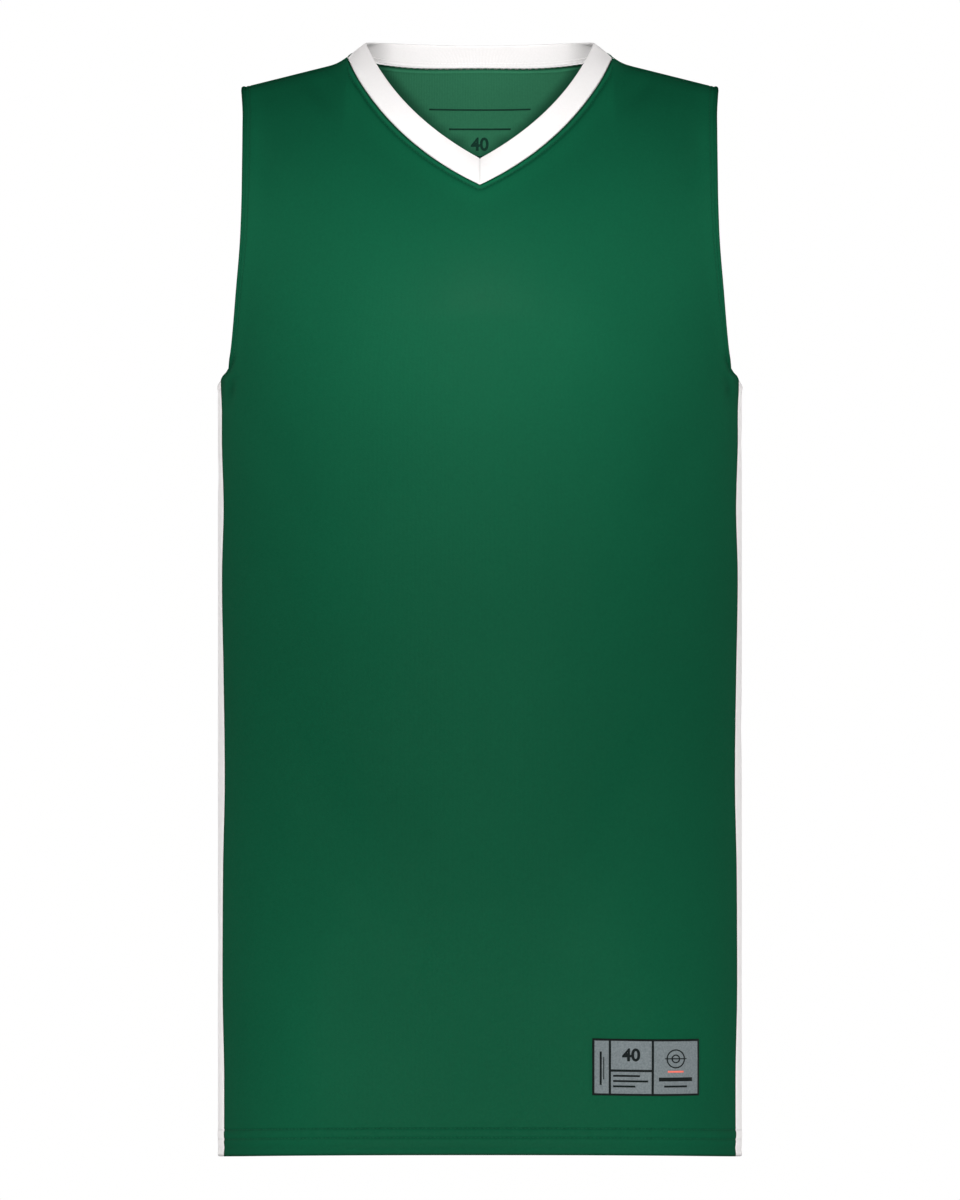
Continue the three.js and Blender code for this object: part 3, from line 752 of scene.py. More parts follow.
def panel(face, sizes):
    """A front or back panel in full, with the relief of its seams and turnings, and their painted shade and
    painted light.
    """

    def whole(half, sign=1.0):
        """Both halves of a grid, in the order in which its faces point outward."""
        return np.concatenate([sign * half[:, :0:-1], half], axis=1)[:, ::-face]

    columns = panel_columns()
    points, u, v = half_panel(face, body_levels(), upper_climbs(), columns)
    column = whole(columns + 0 * u)
    points, u, v = whole(points, MIRROR), whole(u, -1.0), whole(v)
    bottom, top, left, right = grid_lengths(points)
    top = top * slant_at_top(points)
    edge = np.minimum(left, right)
    x, _, z = np.moveaxis(points, -1, 0)
    lines = sewing_lines(sizes)
    at_arm = smoothstep((v - UNDERARM_LEVEL + 0.003) / 0.005)
    at_shoulder = smoothstep((column - NECK_END + 0.2) / 0.4)

    side = profile("side relief", edge) + step("side", edge)
    neck = profile("neck relief", top, lines) + pucker(u) * profile("neck gathers", top, lines)
    shoulder = profile("shoulder relief", top) + step("shoulder", top)
    relief = hem_relief(bottom, u, lines) + mix(side, armhole_relief(edge, lines), at_arm)
    relief += mix(neck, shoulder, at_shoulder) + fold_depth(CREASES[face], x, z, 0.0)
    relief += profile("tip along the edge", edge) * profile("tip along the top", top) * at_shoulder
    inner = smoothstep(np.minimum(edge, np.minimum(top, bottom)) / RIPPLE_START)
    relief += RIPPLE_HEIGHT * ripple(u, v) * inner

    # Painted shade along the hem, seams, edges and narrow creases and on the flanks, and painted light (a
    # share below 0) beside the collar, shoulder seam and armhole and on the chest
    narrow = [crease for crease in CREASES[face] if crease[4] < 0 and crease[5] < NARROW_CREASE]
    shade = hem_shade(bottom, u, lines) - CREASE_SHADE * fold_depth(narrow, x, z, 0.0)
    shade += mix(profile("side shade", edge), profile("armhole shade", edge, lines), at_arm)
    shade += hill(v, UNDERARM_LEVEL - 0.003, 0.012) * profile("underarm shade", edge)
    shade += mix(profile("neck shade", top, lines), profile("shoulder shade", top), at_shoulder)
    at_tip = profile("tip's shade along the edge", edge) * profile("tip's shade along the top", top)
    shade += at_tip * at_shoulder + fold_depth(PAINTED_SHADE_AND_LIGHT[face], np.abs(x), z)

    # Painted shadow on the inside of the back beyond the part lit through the neck, and a painted dark line
    # under the collar
    past_light = (np.abs(x) - np.interp(z, *LIT_THROUGH_NECK) + 0.010) / 0.014
    inside_shade = SHADE_BEHIND_FRONT * smoothstep(past_light)
    inside_shade += profile("neck shade inside", top) * (1 - at_shoulder)

    turned = np.maximum(step("thick hem", bottom), step("thick edge", edge))
    turned = np.maximum(turned, step("thick shoulder", top) * at_shoulder)
    outward = outward_at(points)
    return {
        "points": points + outward * relief[..., None],
        "outward": outward,
        "thickness": mix(sizes.cloth, sizes.turned, turned),
        "uv": np.stack([u, v], axis=-1),
        "shade": np.clip(shade, -0.4, 1),
        "inside_shade": np.clip(inside_shade, 0, 1),
        "bottom": bottom,
        "top": top,
        "edge": edge,
        "left": left,
        "right": right,
        "column": column,
    }


def hem_relief(bottom, u, lines):
    """The turned hem: a low step, a groove at each of the two rows of stitching, gathers between them,
    and a soft hollow below them."""
    gathers = pucker(u) * profile("hem gathers", bottom, lines)
    return profile("hem relief", bottom, lines) + gathers + step("hem", bottom, lines)


def armhole_relief(edge, lines):
    """The turned armhole: a bead along the edge, then a groove, and the groove of its stitching."""
    return profile("armhole relief", edge, lines) + step("armhole", edge, lines)


def hem_shade(bottom, u, lines):
    """Share of painted shade at the hem: a narrow hill at each row, stronger where the cloth gathers,
    and one at the folded edge."""
    rows = (1 + 0.6 * pucker(u)) * profile("hem rows' shade", bottom, lines)
    return rows + profile("hem shade", bottom, lines)


def side_panel(sign, sizes):
    """A side panel: x = width * (1 - |y / depth|^n)^(1/n) between the two side seams, whose top edge is
    the bottom of the armhole and dips by ARMHOLE_DIP * (1 - share^2)."""
    border = SHELL_BORDER / 0.038
    share = np.concatenate([-1 + border, np.linspace(-0.95, 0.95, 35), 1 - border[::-1]])
    low = body_levels()
    rim = UNDERARM_LEVEL - np.concatenate([spaced(RIM_LINES), SHELL_BORDER[::-1]])
    z = np.concatenate([low[low < UNDERARM_LEVEL - 0.013], rim])[:, None]
    y = share * (seam_at(z) - SEAM_GAP / 2)
    x = width_at(z) * oval(y / depth_of(y, z), SQUARENESS)
    dip = ARMHOLE_DIP * (1 - share**2) * smoothstep((z - HEM_LEVEL) / (UNDERARM_LEVEL - HEM_LEVEL))
    points = np.stack([x, y, lifted(z, y) - dip], axis=-1)
    u = HALF_GIRTH + y
    v = z + 0 * y
    if sign < 0:
        points = (points * MIRROR)[:, ::-1]
        u = u[:, ::-1]
    bottom, top, left, right = grid_lengths(points)
    edge = np.minimum(left, right)
    lines = sewing_lines(sizes)
    relief = 0.5 * hem_relief(bottom, u, lines)
    relief += armhole_relief(top, lines) * step("side panel's armhole", top)
    relief += profile("side panel's seams", edge)
    relief += fold_depth(SIDE_CREASES[sign], points[..., 1], points[..., 2], 0.0)
    turned = np.maximum(step("thick hem", bottom), step("thick edge", top))
    outward = outward_at(points)
    return {
        "points": points + outward * relief[..., None],
        "outward": outward,
        "thickness": mix(sizes.cloth, sizes.turned, turned),
        "uv": np.stack([u, v], axis=-1),
        # Painted shade at the hem and along the armhole's edge
        "shade": np.clip(hem_shade(bottom, u, lines) + profile("armhole shade", top, lines), 0, 1),
        "inside_shade": 0 * v,
        "bottom": bottom,
        "top": top,
        "edge": edge,
    }


def neck_columns():
    """Columns of the neck from the centre line to the neck point, closest at the V."""
    start = np.array([0.0, 0.006, 0.016, 0.032, 0.055, 0.085, 0.125])
    return np.concatenate([start, np.linspace(0.18, NECK_END, 86)])


def collar_grid(sizes):
    """The collar strip, a ring of lines from the neck seam to the free edge. The edge is a quadratic
    curve in front and (side cos a, mix(side y, back y, sin a)) behind. The strip crowns by a sine."""
    columns = neck_columns()
    base = np.array([UNDERARM_LEVEL])
    seams = [half_panel(face, base, np.ones(1), columns)[0][-1] for face in (FRONT, BACK)]
    t = (columns / NECK_END)[:, None]
    front_edge = (1 - t) ** 2 * COLLAR_V + 2 * t * (1 - t) * COLLAR_PULL + t * t * COLLAR_SIDE
    angle = (1 - columns / NECK_END) * np.pi / 2
    back_x = COLLAR_SIDE[0] * np.cos(angle)
    back_y = mix(COLLAR_SIDE[1], COLLAR_BACK_Y, np.sin(angle))
    back_z = COLLAR_BACK_Z - (COLLAR_BACK_Z - COLLAR_SIDE[2]) * (1 - np.sin(angle)) ** 3
    back_edge = np.stack([back_x, back_y, back_z], axis=-1)

    def ring(front, back):
        """The line round the neck from its front and back quarters."""
        half = np.concatenate([front, back[-2::-1]])
        return np.concatenate([half, half[-2:0:-1] * MIRROR])

    seam = ring(*seams)
    strip = ring(front_edge, back_edge) - seam
    length = np.linalg.norm(strip, axis=-1)
    border = COLLAR_BORDER / COLLAR_HEIGHT
    share = np.concatenate([border, np.linspace(0.12, 0.88, 12), 1 - border[::-1]])[:, None, None]
    level = unit((seam - np.array([0, 0, NECK_V])) * np.array([1.0, 1.0, 0.0]))
    points = seam + strip * share + level * COLLAR_CROWN * np.sin(np.pi * share)
    along = np.roll(points, -1, axis=1) - np.roll(points, 1, axis=1)
    outward = unit(np.cross(along, np.gradient(points, axis=0)))
    from_seam = share[..., 0] * length
    from_join = np.abs(points[..., 0]) + np.where(points[..., 1] > 0, 1.0, 0.0)
    relief = profile("collar seam", from_seam) + profile("collar join", from_join)
    round_neck = np.append(0, np.cumsum(np.linalg.norm(np.diff(seam, axis=0), axis=-1)))
    # Painted shade on the collar's inside grows towards its ends, and painted shade lines follow its seam and
    # join
    at_side = smoothstep((np.abs(points[..., 0]) - 0.060) / 0.016)
    return {
        "points": points + outward * relief[..., None],
        "outward": outward,
        "thickness": sizes.collar - profile("collar thinning", from_seam),
        "uv": np.stack([round_neck + 0 * from_seam, from_seam], axis=-1),
        "shade": profile("collar seam's shade", from_seam) + profile("collar join's shade", from_join),
        "inside_shade": mix(*COLLAR_INSIDE_SHADE, at_side),
        "bottom": from_seam,
        "top": length - from_seam,
        "seam": seam,
    }


def grid_quads(index):
    """Quads between neighbours in an array of vertex numbers."""
    corners = [index[:-1, :-1], index[:-1, 1:], index[1:, 1:], index[1:, :-1]]
    return np.stack(corners, axis=-1).reshape(-1, 4)


def numbered(rows, columns, loops=(False, False)):
    """Vertex numbers in rows and columns, with the first row or column again after a looped last one."""
    index = np.arange(rows * columns).reshape(rows, columns)
    return np.pad(index, [(0, int(loop)) for loop in loops], mode="wrap")


def shell_mesh(grid, looped=False):
    """Vertices, quads, UVs and an inside mark for a closed shell round a grid of outside points. Each
    wall lies half the thickness from the middle surface, times sqrt(1 - (1 - d/r)^2) near an edge,
    so that the edge is round and the two walls share its points. Points next to a corner stay close to
    the middle surface, so that no quad there folds over."""
    points = grid["points"]
    uv = grid["uv"]
    half = grid["thickness"][..., None] / 2
    near = np.minimum(grid["bottom"], grid["top"])
    shared = np.zeros(near.shape, bool)
    shared[[0, -1]] = True
    if not looped:
        near = np.minimum(near, grid["edge"])
        shared[:, [0, -1]] = True
    fullness = np.sqrt(1 - (1 - np.clip(near[..., None] / half, 0, 1)) ** 2)
    if not looped:
        fullness[[1, 1, -2, -2], [1, -2, 1, -2]] *= CORNER_FULLNESS
    middle = points - grid["outward"] * half
    wall = grid["outward"] * half * fullness
    outer = numbered(*near.shape)
    inner = outer.copy()
    inner[~shared] = outer.size + np.arange(np.count_nonzero(~shared))
    if looped:
        outer, inner = (np.concatenate([index, index[:, :1]], axis=1) for index in (outer, inner))
        last = np.linalg.norm(grid["seam"][0] - grid["seam"][-1])
        uv = np.concatenate([uv, uv[:, -1:] + np.array([last, 0.0])], axis=1)
    cells = grid_quads(numbered(*uv.shape[:2]))
    corners = np.concatenate([cells, cells[:, ::-1]])
    quads = np.concatenate([grid_quads(outer), grid_quads(inner)[:, ::-1]])
    vertices = np.concatenate([(middle + wall).reshape(-1, 3), (middle - wall)[~shared]])
    shade = np.concatenate([grid["shade"].ravel(), grid["inside_shade"][~shared]])
    return vertices, quads, uv.reshape(-1, 2)[corners], np.repeat([0, 1], len(cells)), shade


def fill(items, key, values, kind=np.float32):
    """Gives every item its value from an array."""
    items.foreach_set(key, np.ascontiguousarray(values, kind).ravel())


def add_object(name, mesh):
    """A new object that rides on the root body."""
    piece = bpy.data.objects.new(name, mesh)
    bpy.context.scene.collection.objects.link(piece)
    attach(piece, "root")
    return piece


def make_piece(name, vertices, quads, materials, uv=None, marks=None, shade=None):
    """Puts arrays into a new mesh object at the origin, smooth, riding on the root body."""
    mesh = bpy.data.meshes.new(name)
    mesh.vertices.add(len(vertices))
    fill(mesh.vertices, "co", vertices)
    mesh.loops.add(quads.size)
    fill(mesh.loops, "vertex_index", quads, np.int32)
    mesh.polygons.add(len(quads))
    fill(mesh.polygons, "loop_start", np.arange(0, quads.size, 4), np.int32)
    for material in materials:
        mesh.materials.append(material)
    if marks is not None:
        fill(mesh.polygons, "material_index", marks, np.int32)
    fill(mesh.polygons, "use_smooth", np.ones(len(quads)), bool)
    if uv is not None:
        fill(mesh.uv_layers.new(name="UVMap").data, "uv", uv)
    # Each vertex's share of painted shade (below 0: painted light), which the knits mix into their colour
    if shade is not None:
        fill(mesh.attributes.new("shade", "FLOAT", "POINT").data, "value", shade)
    mesh.update(calc_edges=True)
    if mesh.validate():
        raise RuntimeError(name + ": the mesh had faults")
    return add_object(name, mesh)


def make_cloth(name, grid, materials, node, looped=False):
    """A shell of cloth round a grid, in place of a CAD node."""
    vertices, quads, uv, marks, shade = shell_mesh(grid, looped)
    piece = make_piece(name, vertices, quads, materials, uv, marks, shade)
    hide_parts(node)
    return piece


def line_on_grid(grid, key, distance, axis):
    """The line on a grid's outside at a distance from one of its edges, with the outward directions.
    The distance grows or falls steadily along the axis, so the place is counted and then mixed."""
    lengths, points, outward = (np.moveaxis(grid[name], axis, 0) for name in (key, "points", "outward"))
    if lengths[-1].mean() < lengths[0].mean():
        lengths, points, outward = lengths[::-1], points[::-1], outward[::-1]
    i = np.clip(np.count_nonzero(lengths < distance, axis=0), 1, len(lengths) - 1)
    j = np.arange(lengths.shape[1])
    share = ((distance - lengths[i - 1, j]) / (lengths[i, j] - lengths[i - 1, j]))[:, None]
    return mix(points[i - 1, j], points[i, j], share), unit(mix(outward[i - 1, j], outward[i, j], share))


def stitch_row(line, outward, pitch, lean=0.0, across=0.0):
    """Middles, directions, outward directions and lengths of a row's stitches, spaced evenly along a
    line. Each stitch may lean to alternate sides by an angle, and lie off the line by a distance."""
    length = np.append(0, np.cumsum(np.linalg.norm(np.diff(line, axis=0), axis=-1)))
    count = max(int(length[-1] / pitch), 1)
    at = (np.arange(count) + 0.5) * length[-1] / count

    def sampled(values, offset=0.0):
        """Values of the line at the stitches' places, moved along it."""
        return np.stack([np.interp(at + offset, length, values[:, k]) for k in range(3)], axis=-1)

    normal = unit(sampled(outward))
    along = sampled(line, pitch / 2) - sampled(line, -pitch / 2)
    along = unit(along - normal * np.sum(along * normal, axis=-1, keepdims=True))
    side = np.cross(normal, along)
    turn = lean * np.where(np.arange(count) % 2 == 0, 1.0, -1.0)[:, None]
    return sampled(line) + side * across, along * np.cos(turn) + side * np.sin(turn), normal


def stitch_shape(length, thread):
    """One stitch: rings of radius thread/2 * sqrt(1 - t^4) along t from -1 to 1, rising by a parabola."""
    t = np.linspace(-0.97, 0.97, STITCH_RINGS)[:, None]
    angle = np.arange(STITCH_SIDES) * 2 * np.pi / STITCH_SIDES
    radius = thread / 2 * np.sqrt(1 - t**4)
    rise = thread * (0.55 * (1 - t * t) - 0.25) + radius * np.sin(angle)
    points = np.stack([t * length / 2 + 0 * angle, radius * np.cos(angle), rise], axis=-1)
    walls = grid_quads(numbered(STITCH_RINGS, STITCH_SIDES, (False, True)))
    first = np.array([[3, 2, 1, 0], [5, 4, 3, 0]])
    last = (STITCH_RINGS - 1) * STITCH_SIDES + first[:, ::-1]
    return points.reshape(-1, 3), np.concatenate([walls, first, last])


def stitch_arrays(rows, length, thread):
    """Copies one stitch to every place of some rows: along * x + side * y + outward * z."""
    shape, quads = stitch_shape(length, thread)
    place, along, normal = (np.concatenate([row[k] for row in rows]) for k in range(3))
    side = np.cross(normal, along)
    axes = np.stack([along, side, normal], axis=1)
    vertices = place[:, None] + np.einsum("pk,nkd->npd", shape, axes)
    faces = quads[None] + (np.arange(len(place)) * len(shape))[:, None, None]
    return vertices.reshape(-1, 3), faces.reshape(-1, 4)


def stitching(name, groups, length, thread, materials):
    """One piece of many stitches. Each group is a list of rows in one thread, with its material."""
    parts = [stitch_arrays(rows, length, thread) for rows in groups]
    marks = np.repeat(np.arange(len(parts)), [len(quads) for _, quads in parts])
    return make_piece(name, *joined(parts), materials, marks=marks)


def front_place(x, z, out):
    """A point on the front panel below the underarm at x and z, moved out of the cloth."""
    width = width_at(z)
    turn = turn_of_x(x, width)
    share = turn / turn_of_y(seam_at(z), DEPTH_AT[FRONT](z))
    point = cloth_point(FRONT, turn, width, ARCH_HEIGHT + 0 * z, z, share)
    u = np.interp(turn, SECTION_TURNS, SECTION_LENGTHS)
    relief = fold_depth(CREASES[FRONT], x, z, 0.0) + RIPPLE_HEIGHT * ripple(u, z)
    return point + outward_at(point) * (relief + out)[..., None]


def back_inside_place(x, z, out):
    """A point on the inside of the back cloth, met along +Y from the middle of the body, moved out of the
    cloth towards the front."""
    cloth = bpy.data.objects["back_cloth"]
    spots = np.broadcast(x, z, out)
    points = []
    for across, height, lift in spots:
        _, place, normal, _ = cloth.ray_cast((across, 0.0, height), (0.0, 1.0, 0.0))
        points.append(np.array(place) + lift * np.array(normal))
    return np.reshape(points, (*spots.shape, 3))


def operation(name, turned=False):
    """A method of Wire that adds a Math node of that name, with its values turned round or not."""

    def method(self, *values):
        ordered = (*values, self) if turned else (self, *values)
        return self.node("ShaderNodeMath", {"operation": name}, dict(enumerate(ordered)))

    return method


class Wire:
    """A socket of a material's node tree. Sums, products and comparisons on it add Math nodes."""

    def __init__(self, tree, socket):
        self.tree = tree
        self.socket = socket

    def node(self, kind, settings=None, inputs=None, output=0):
        """Adds a node of a kind, first its settings, then the values or links of its inputs, and returns
        one of its outputs."""
        made = self.tree.nodes.new(kind)
        for key, value in (settings or {}).items():
            setattr(made, key, value)
        for key, value in (inputs or {}).items():
            connect(self.tree, value, made.inputs[key])
        return Wire(self.tree, made.outputs[output])

    __add__ = __radd__ = operation("ADD")
    __sub__ = operation("SUBTRACT")
    __rsub__ = operation("SUBTRACT", turned=True)
    __mul__ = __rmul__ = operation("MULTIPLY")
    __truediv__ = operation("DIVIDE")
    __gt__ = operation("GREATER_THAN")
    __lt__ = operation("LESS_THAN")
    __abs__ = operation("ABSOLUTE")
    sine = operation("SINE")
    fraction = operation("FRACT")
    larger = operation("MAXIMUM")

    def wave(self, length):
        """A sine of that length along this, from 0 to 1."""
        return (2 * math.pi * self / length).sine() * 0.5 + 0.5

    def bump(self, strength, distance):
        """A normal from this as a height."""
        inputs = {"Strength": strength, "Distance": distance, "Height": self}
        return self.node("ShaderNodeBump", None, inputs)

    def mixed(self, a, b):
        """Colour a where this is 0, and b where it is 1. Below 0 it goes on past a, away from b."""
        settings = {"data_type": "RGBA", "clamp_factor": False}
        return self.node("ShaderNodeMix", settings, {0: self, 6: a, 7: b}, output=2)

    def toned(self, colour, low, high):
        """A colour times low where this is 0, and times high where it is 1."""
        return self.mixed([low * c for c in colour], [high * c for c in colour])


def connect(tree, value, socket):
    """Links a wire to a socket, or sets the socket's own value."""
    if isinstance(value, Wire):
        tree.links.new(value.socket, socket)
    elif hasattr(value, "__len__") and len(value) == 3 and socket.type == "RGBA":
        socket.default_value = (*value, 1.0)
    else:
        socket.default_value = value


def new_material(name, constants):
    """A material with one Principled BSDF, its constant values set on its own sockets, and wires for the
    UV map's two coordinates and the object's coordinates."""
    material = bpy.data.materials.new(name)
    material.use_nodes = True
    tree = material.node_tree
    tree.nodes.clear()
    shader = tree.nodes.new("ShaderNodeBsdfPrincipled")
    output = tree.nodes.new("ShaderNodeOutputMaterial")
    tree.links.new(shader.outputs[0], output.inputs[0])
    for key, value in constants.items():
        connect(tree, value, shader.inputs[key])
    root = Wire(tree, None)
    split = root.node("ShaderNodeSeparateXYZ", None, {0: root.node("ShaderNodeUVMap", {"uv_map": "UVMap"})})
    uv = [Wire(tree, split.socket.node.outputs[k]) for k in range(2)]
    return material, shader, uv, root.node("ShaderNodeTexCoord", None, None, output=3)


def finish_material(shader, wires):
    """Links wires to the shader's inputs by name."""
    tree = shader.id_data
    for key, value in wires.items():
        connect(tree, value, shader.inputs[key])


def knit_height(uv, wale, course):
    """Height of plain knit, 0 to 1: round ridges a wale apart, each crossed by V-shaped loops."""
    across = (uv[0] / wale).fraction() - 0.5
    ridge_shape = 1.0 - 4.0 * across * across
    loops = (2 * math.pi * (uv[1] / course + abs(across))).sine() * 0.5 + 0.5
    return ridge_shape * (0.6 + 0.4 * loops)


def noise(place, scale, detail=2.0, rough=0.5):
    """Soft noise from 0 to 1 at a scale in waves a metre."""
    inputs = {"Vector": place, "Scale": scale, "Detail": detail, "Roughness": rough}
    return place.node("ShaderNodeTexNoise", {"noise_dimensions": "3D"}, inputs)


def knit_material(name, colours):
    """Plain polyester knit: colour a little uneven, with painted shade between the wales and, from the mesh's
    shade attribute, painted shade and painted light along the sewing, with a bump of loops. The sheen of the
    yarn is broken up by the loops."""
    key, share, roughness, specular, coat, wale, course, grain = KNITS[name]
    colour = [share * c for c in getattr(colours, key)]
    constants = {"Specular IOR Level": specular, "Coat Roughness": COAT_ROUGHNESS}
    material, shader, uv, place = new_material(name, constants)
    height = knit_height(uv, wale, course)
    fine = noise(place, 620.0, 1.0)
    # Painted shade between the wales: the tone is lower where the knit's height is low
    tone = 0.93 + 0.07 * height + 0.45 * grain * (noise(place, 14.0) - 0.5) + grain * (fine - 0.5)
    even = ((tone - 0.80) / 0.32).toned(colour, 0.80, 1.12)
    # Painted shade and painted light from the mesh's shade attribute, mixed towards SHADE_DEPTH of the colour
    painted_shade = place.node("ShaderNodeAttribute", {"attribute_name": "shade"}, None, output=2)
    uneven = height + 1.3 * noise(place, 900.0, 1.0)
    wires = {
        "Base Color": painted_shade.mixed(even, [SHADE_DEPTH * c for c in colour]),
        "Roughness": roughness + 0.10 * (fine - 0.5),
        "Coat Weight": coat * (0.4 + 1.2 * noise(place, 540.0, 1.0)),
        "Normal": uneven.bump(0.7, 0.0001),
    }
    finish_material(shader, wires)
    return material


def knits(context, *names):
    """The knits of those names, each made the first time."""
    colours = context.scene.jersey_colours
    return [bpy.data.materials.get(name) or knit_material(name, colours) for name in names]


def speckled_material(name, colour, specular, scale, tones, bump, rough):
    """One colour whose tone, height and roughness all follow one fine noise."""
    material, shader, _, place = new_material(name, {"Specular IOR Level": specular})
    grain = noise(place, scale, 1.0)
    roughness = rough[0] + rough[1] * grain
    base = grain.toned(colour, *tones)
    finish_material(shader, {"Base Color": base, "Roughness": roughness, "Normal": grain.bump(*bump)})
    return material


def thread_material(name, colour):
    """Spun polyester thread: twisted, so its tone changes along it."""
    return speckled_material(name, colour, 0.08, 2600.0, (0.75, 1.2), (0.5, 0.00005), (0.55, 0.2))


def tag_material(name, colours):
    """Woven satin: grey cells inside black bars and a black border, with fine weft ribs. The UV map is in
    metres from the tag's lower corner."""
    material, shader, (u, v), place = new_material(name, {"Specular IOR Level": 0.08})
    border = abs(u - TAG_WIDE / 2) > TAG_WIDE / 2 - TAG_FRAME
    border = border.larger(abs(v - TAG_HIGH / 2) > TAG_HIGH / 2 - TAG_FRAME)
    bars = border.larger(abs(u - TAG_BAR_1) < TAG_BAR_HALF).larger(abs(u - TAG_BAR_2) < TAG_BAR_HALF)
    between = (u > TAG_BAR_1) * (u < TAG_BAR_2)
    bars = bars.larger(between * (abs(v - TAG_SHELF) < TAG_BAR_HALF))
    weft = v.wave(0.00042)
    warp = u.wave(0.00055)
    tone = 0.35 + 0.2 * weft + 0.1 * warp + 1.3 * (noise(place, 800.0) - 0.5)
    grey = tone.toned(colours.tag_grey, 0.72, 1.36)
    black = tone.toned(colours.tag_black, 0.6, 1.2)
    wires = {
        "Base Color": bars.mixed(grey, black),
        "Roughness": 0.55 + 0.12 * weft,
        "Normal": (weft + 0.4 * warp + 1.5 * bars).bump(0.6, 0.00008),
    }
    finish_material(shader, wires)
    return material


def print_material(name, colour):
    """Heat-pressed ink: thin, flat and slightly broken by the knit under it."""
    return speckled_material(name, colour, 0.1, 1100.0, (0.7, 1.5), (0.4, 0.00003), (0.7, 0.1))


def length_of(name, description, default):
    """A property for a length in metres."""
    return bpy.props.FloatProperty(name=name, description=description, default=default, unit="LENGTH")


def colour_of(name, description, *default):
    """A property for a linear colour."""
    return bpy.props.FloatVectorProperty(name=name, description=description, default=default, subtype="COLOR")


class JerseySizes(bpy.types.PropertyGroup):
    """Sizes of the cloth and its sewing."""

    cloth: length_of("Cloth", "Thickness of one layer of knit", 0.0007)
    turned: length_of("Turned edge", "Thickness where an edge is turned and sewn", 0.0018)
    collar: length_of("Collar", "Thickness of the folded collar strip", 0.0016)
    hem_row: length_of("Hem row", "Height of the hem's lower stitching above its edge", 0.012)
    needle_gauge: length_of("Needle gauge", "Distance between the two rows at the hem", 0.0064)
    neck_row: length_of("Neck row", "Distance of the topstitching from the collar", 0.0042)
    armhole_bead: length_of("Armhole bead", "Width of the bead at the armhole's edge", 0.0033)
    armhole_row: length_of("Armhole row", "Distance of the armhole's stitching from its edge", 0.006)
    stitch: length_of("Stitch", "Length of cloth taken by one stitch", 0.0028)
    thread: length_of("Thread", "Thickness of the sewing thread", 0.00034)


class JerseyColours(bpy.types.PropertyGroup):
    """Colours of the cloth, the thread and the tag."""

    green: colour_of("Green", "Body cloth, right side", 0.0036, 0.0702, 0.0320)
    green_inside: colour_of("Green inside", "Body cloth, wrong side", 0.034, 0.185, 0.096)
    green_thread: colour_of("Green thread", "Thread on the body", 0.006, 0.075, 0.036)
    white: colour_of("White", "Collar and side panels", 0.865, 0.842, 0.838)
    tag_grey: colour_of("Tag grey", "Cells of the woven tag", 0.139, 0.162, 0.169)
    tag_black: colour_of("Tag black", "Border and bars of the woven tag", 0.005, 0.008, 0.008)
    tag_red: colour_of("Tag accent", "Small coloured bar on the tag", 0.80, 0.16, 0.12)
    ink: colour_of("Neck print", "Ink inside the back neck", 0.006, 0.035, 0.022)


def aim(thing, place, target):
    """Puts a light at a place and points it at a target: its -Z axis along the line between them."""
    line = np.array(target, float) - np.array(place, float)
    flat = math.hypot(line[0], line[1])
    thing.location = place
    thing.rotation_euler = (math.atan2(flat, -line[2]), 0, math.atan2(line[1], line[0]) - math.pi / 2)
    thing.visible_camera = False
    bpy.context.scene.collection.objects.link(thing)


def add_area(name, place, target, wide, high, power):
    """A soft light of a width and height, hidden from the camera."""
    light = bpy.data.lights.new(name, "AREA")
    light.shape = "RECTANGLE"
    light.size = wide
    light.size_y = high
    light.energy = power
    aim(bpy.data.objects.new(name, light), place, target)


def add_spot(name, place, target, reach, softness, power):
    """A spot whose edge is a circle of radius reach at its target, faded all the way in."""
    light = bpy.data.lights.new(name, "SPOT")
    light.spot_size = 2 * math.atan(reach / math.dist(place, target))
    light.spot_blend = 1.0
    light.shadow_soft_size = softness
    light.energy = power
    aim(bpy.data.objects.new(name, light), place, target)


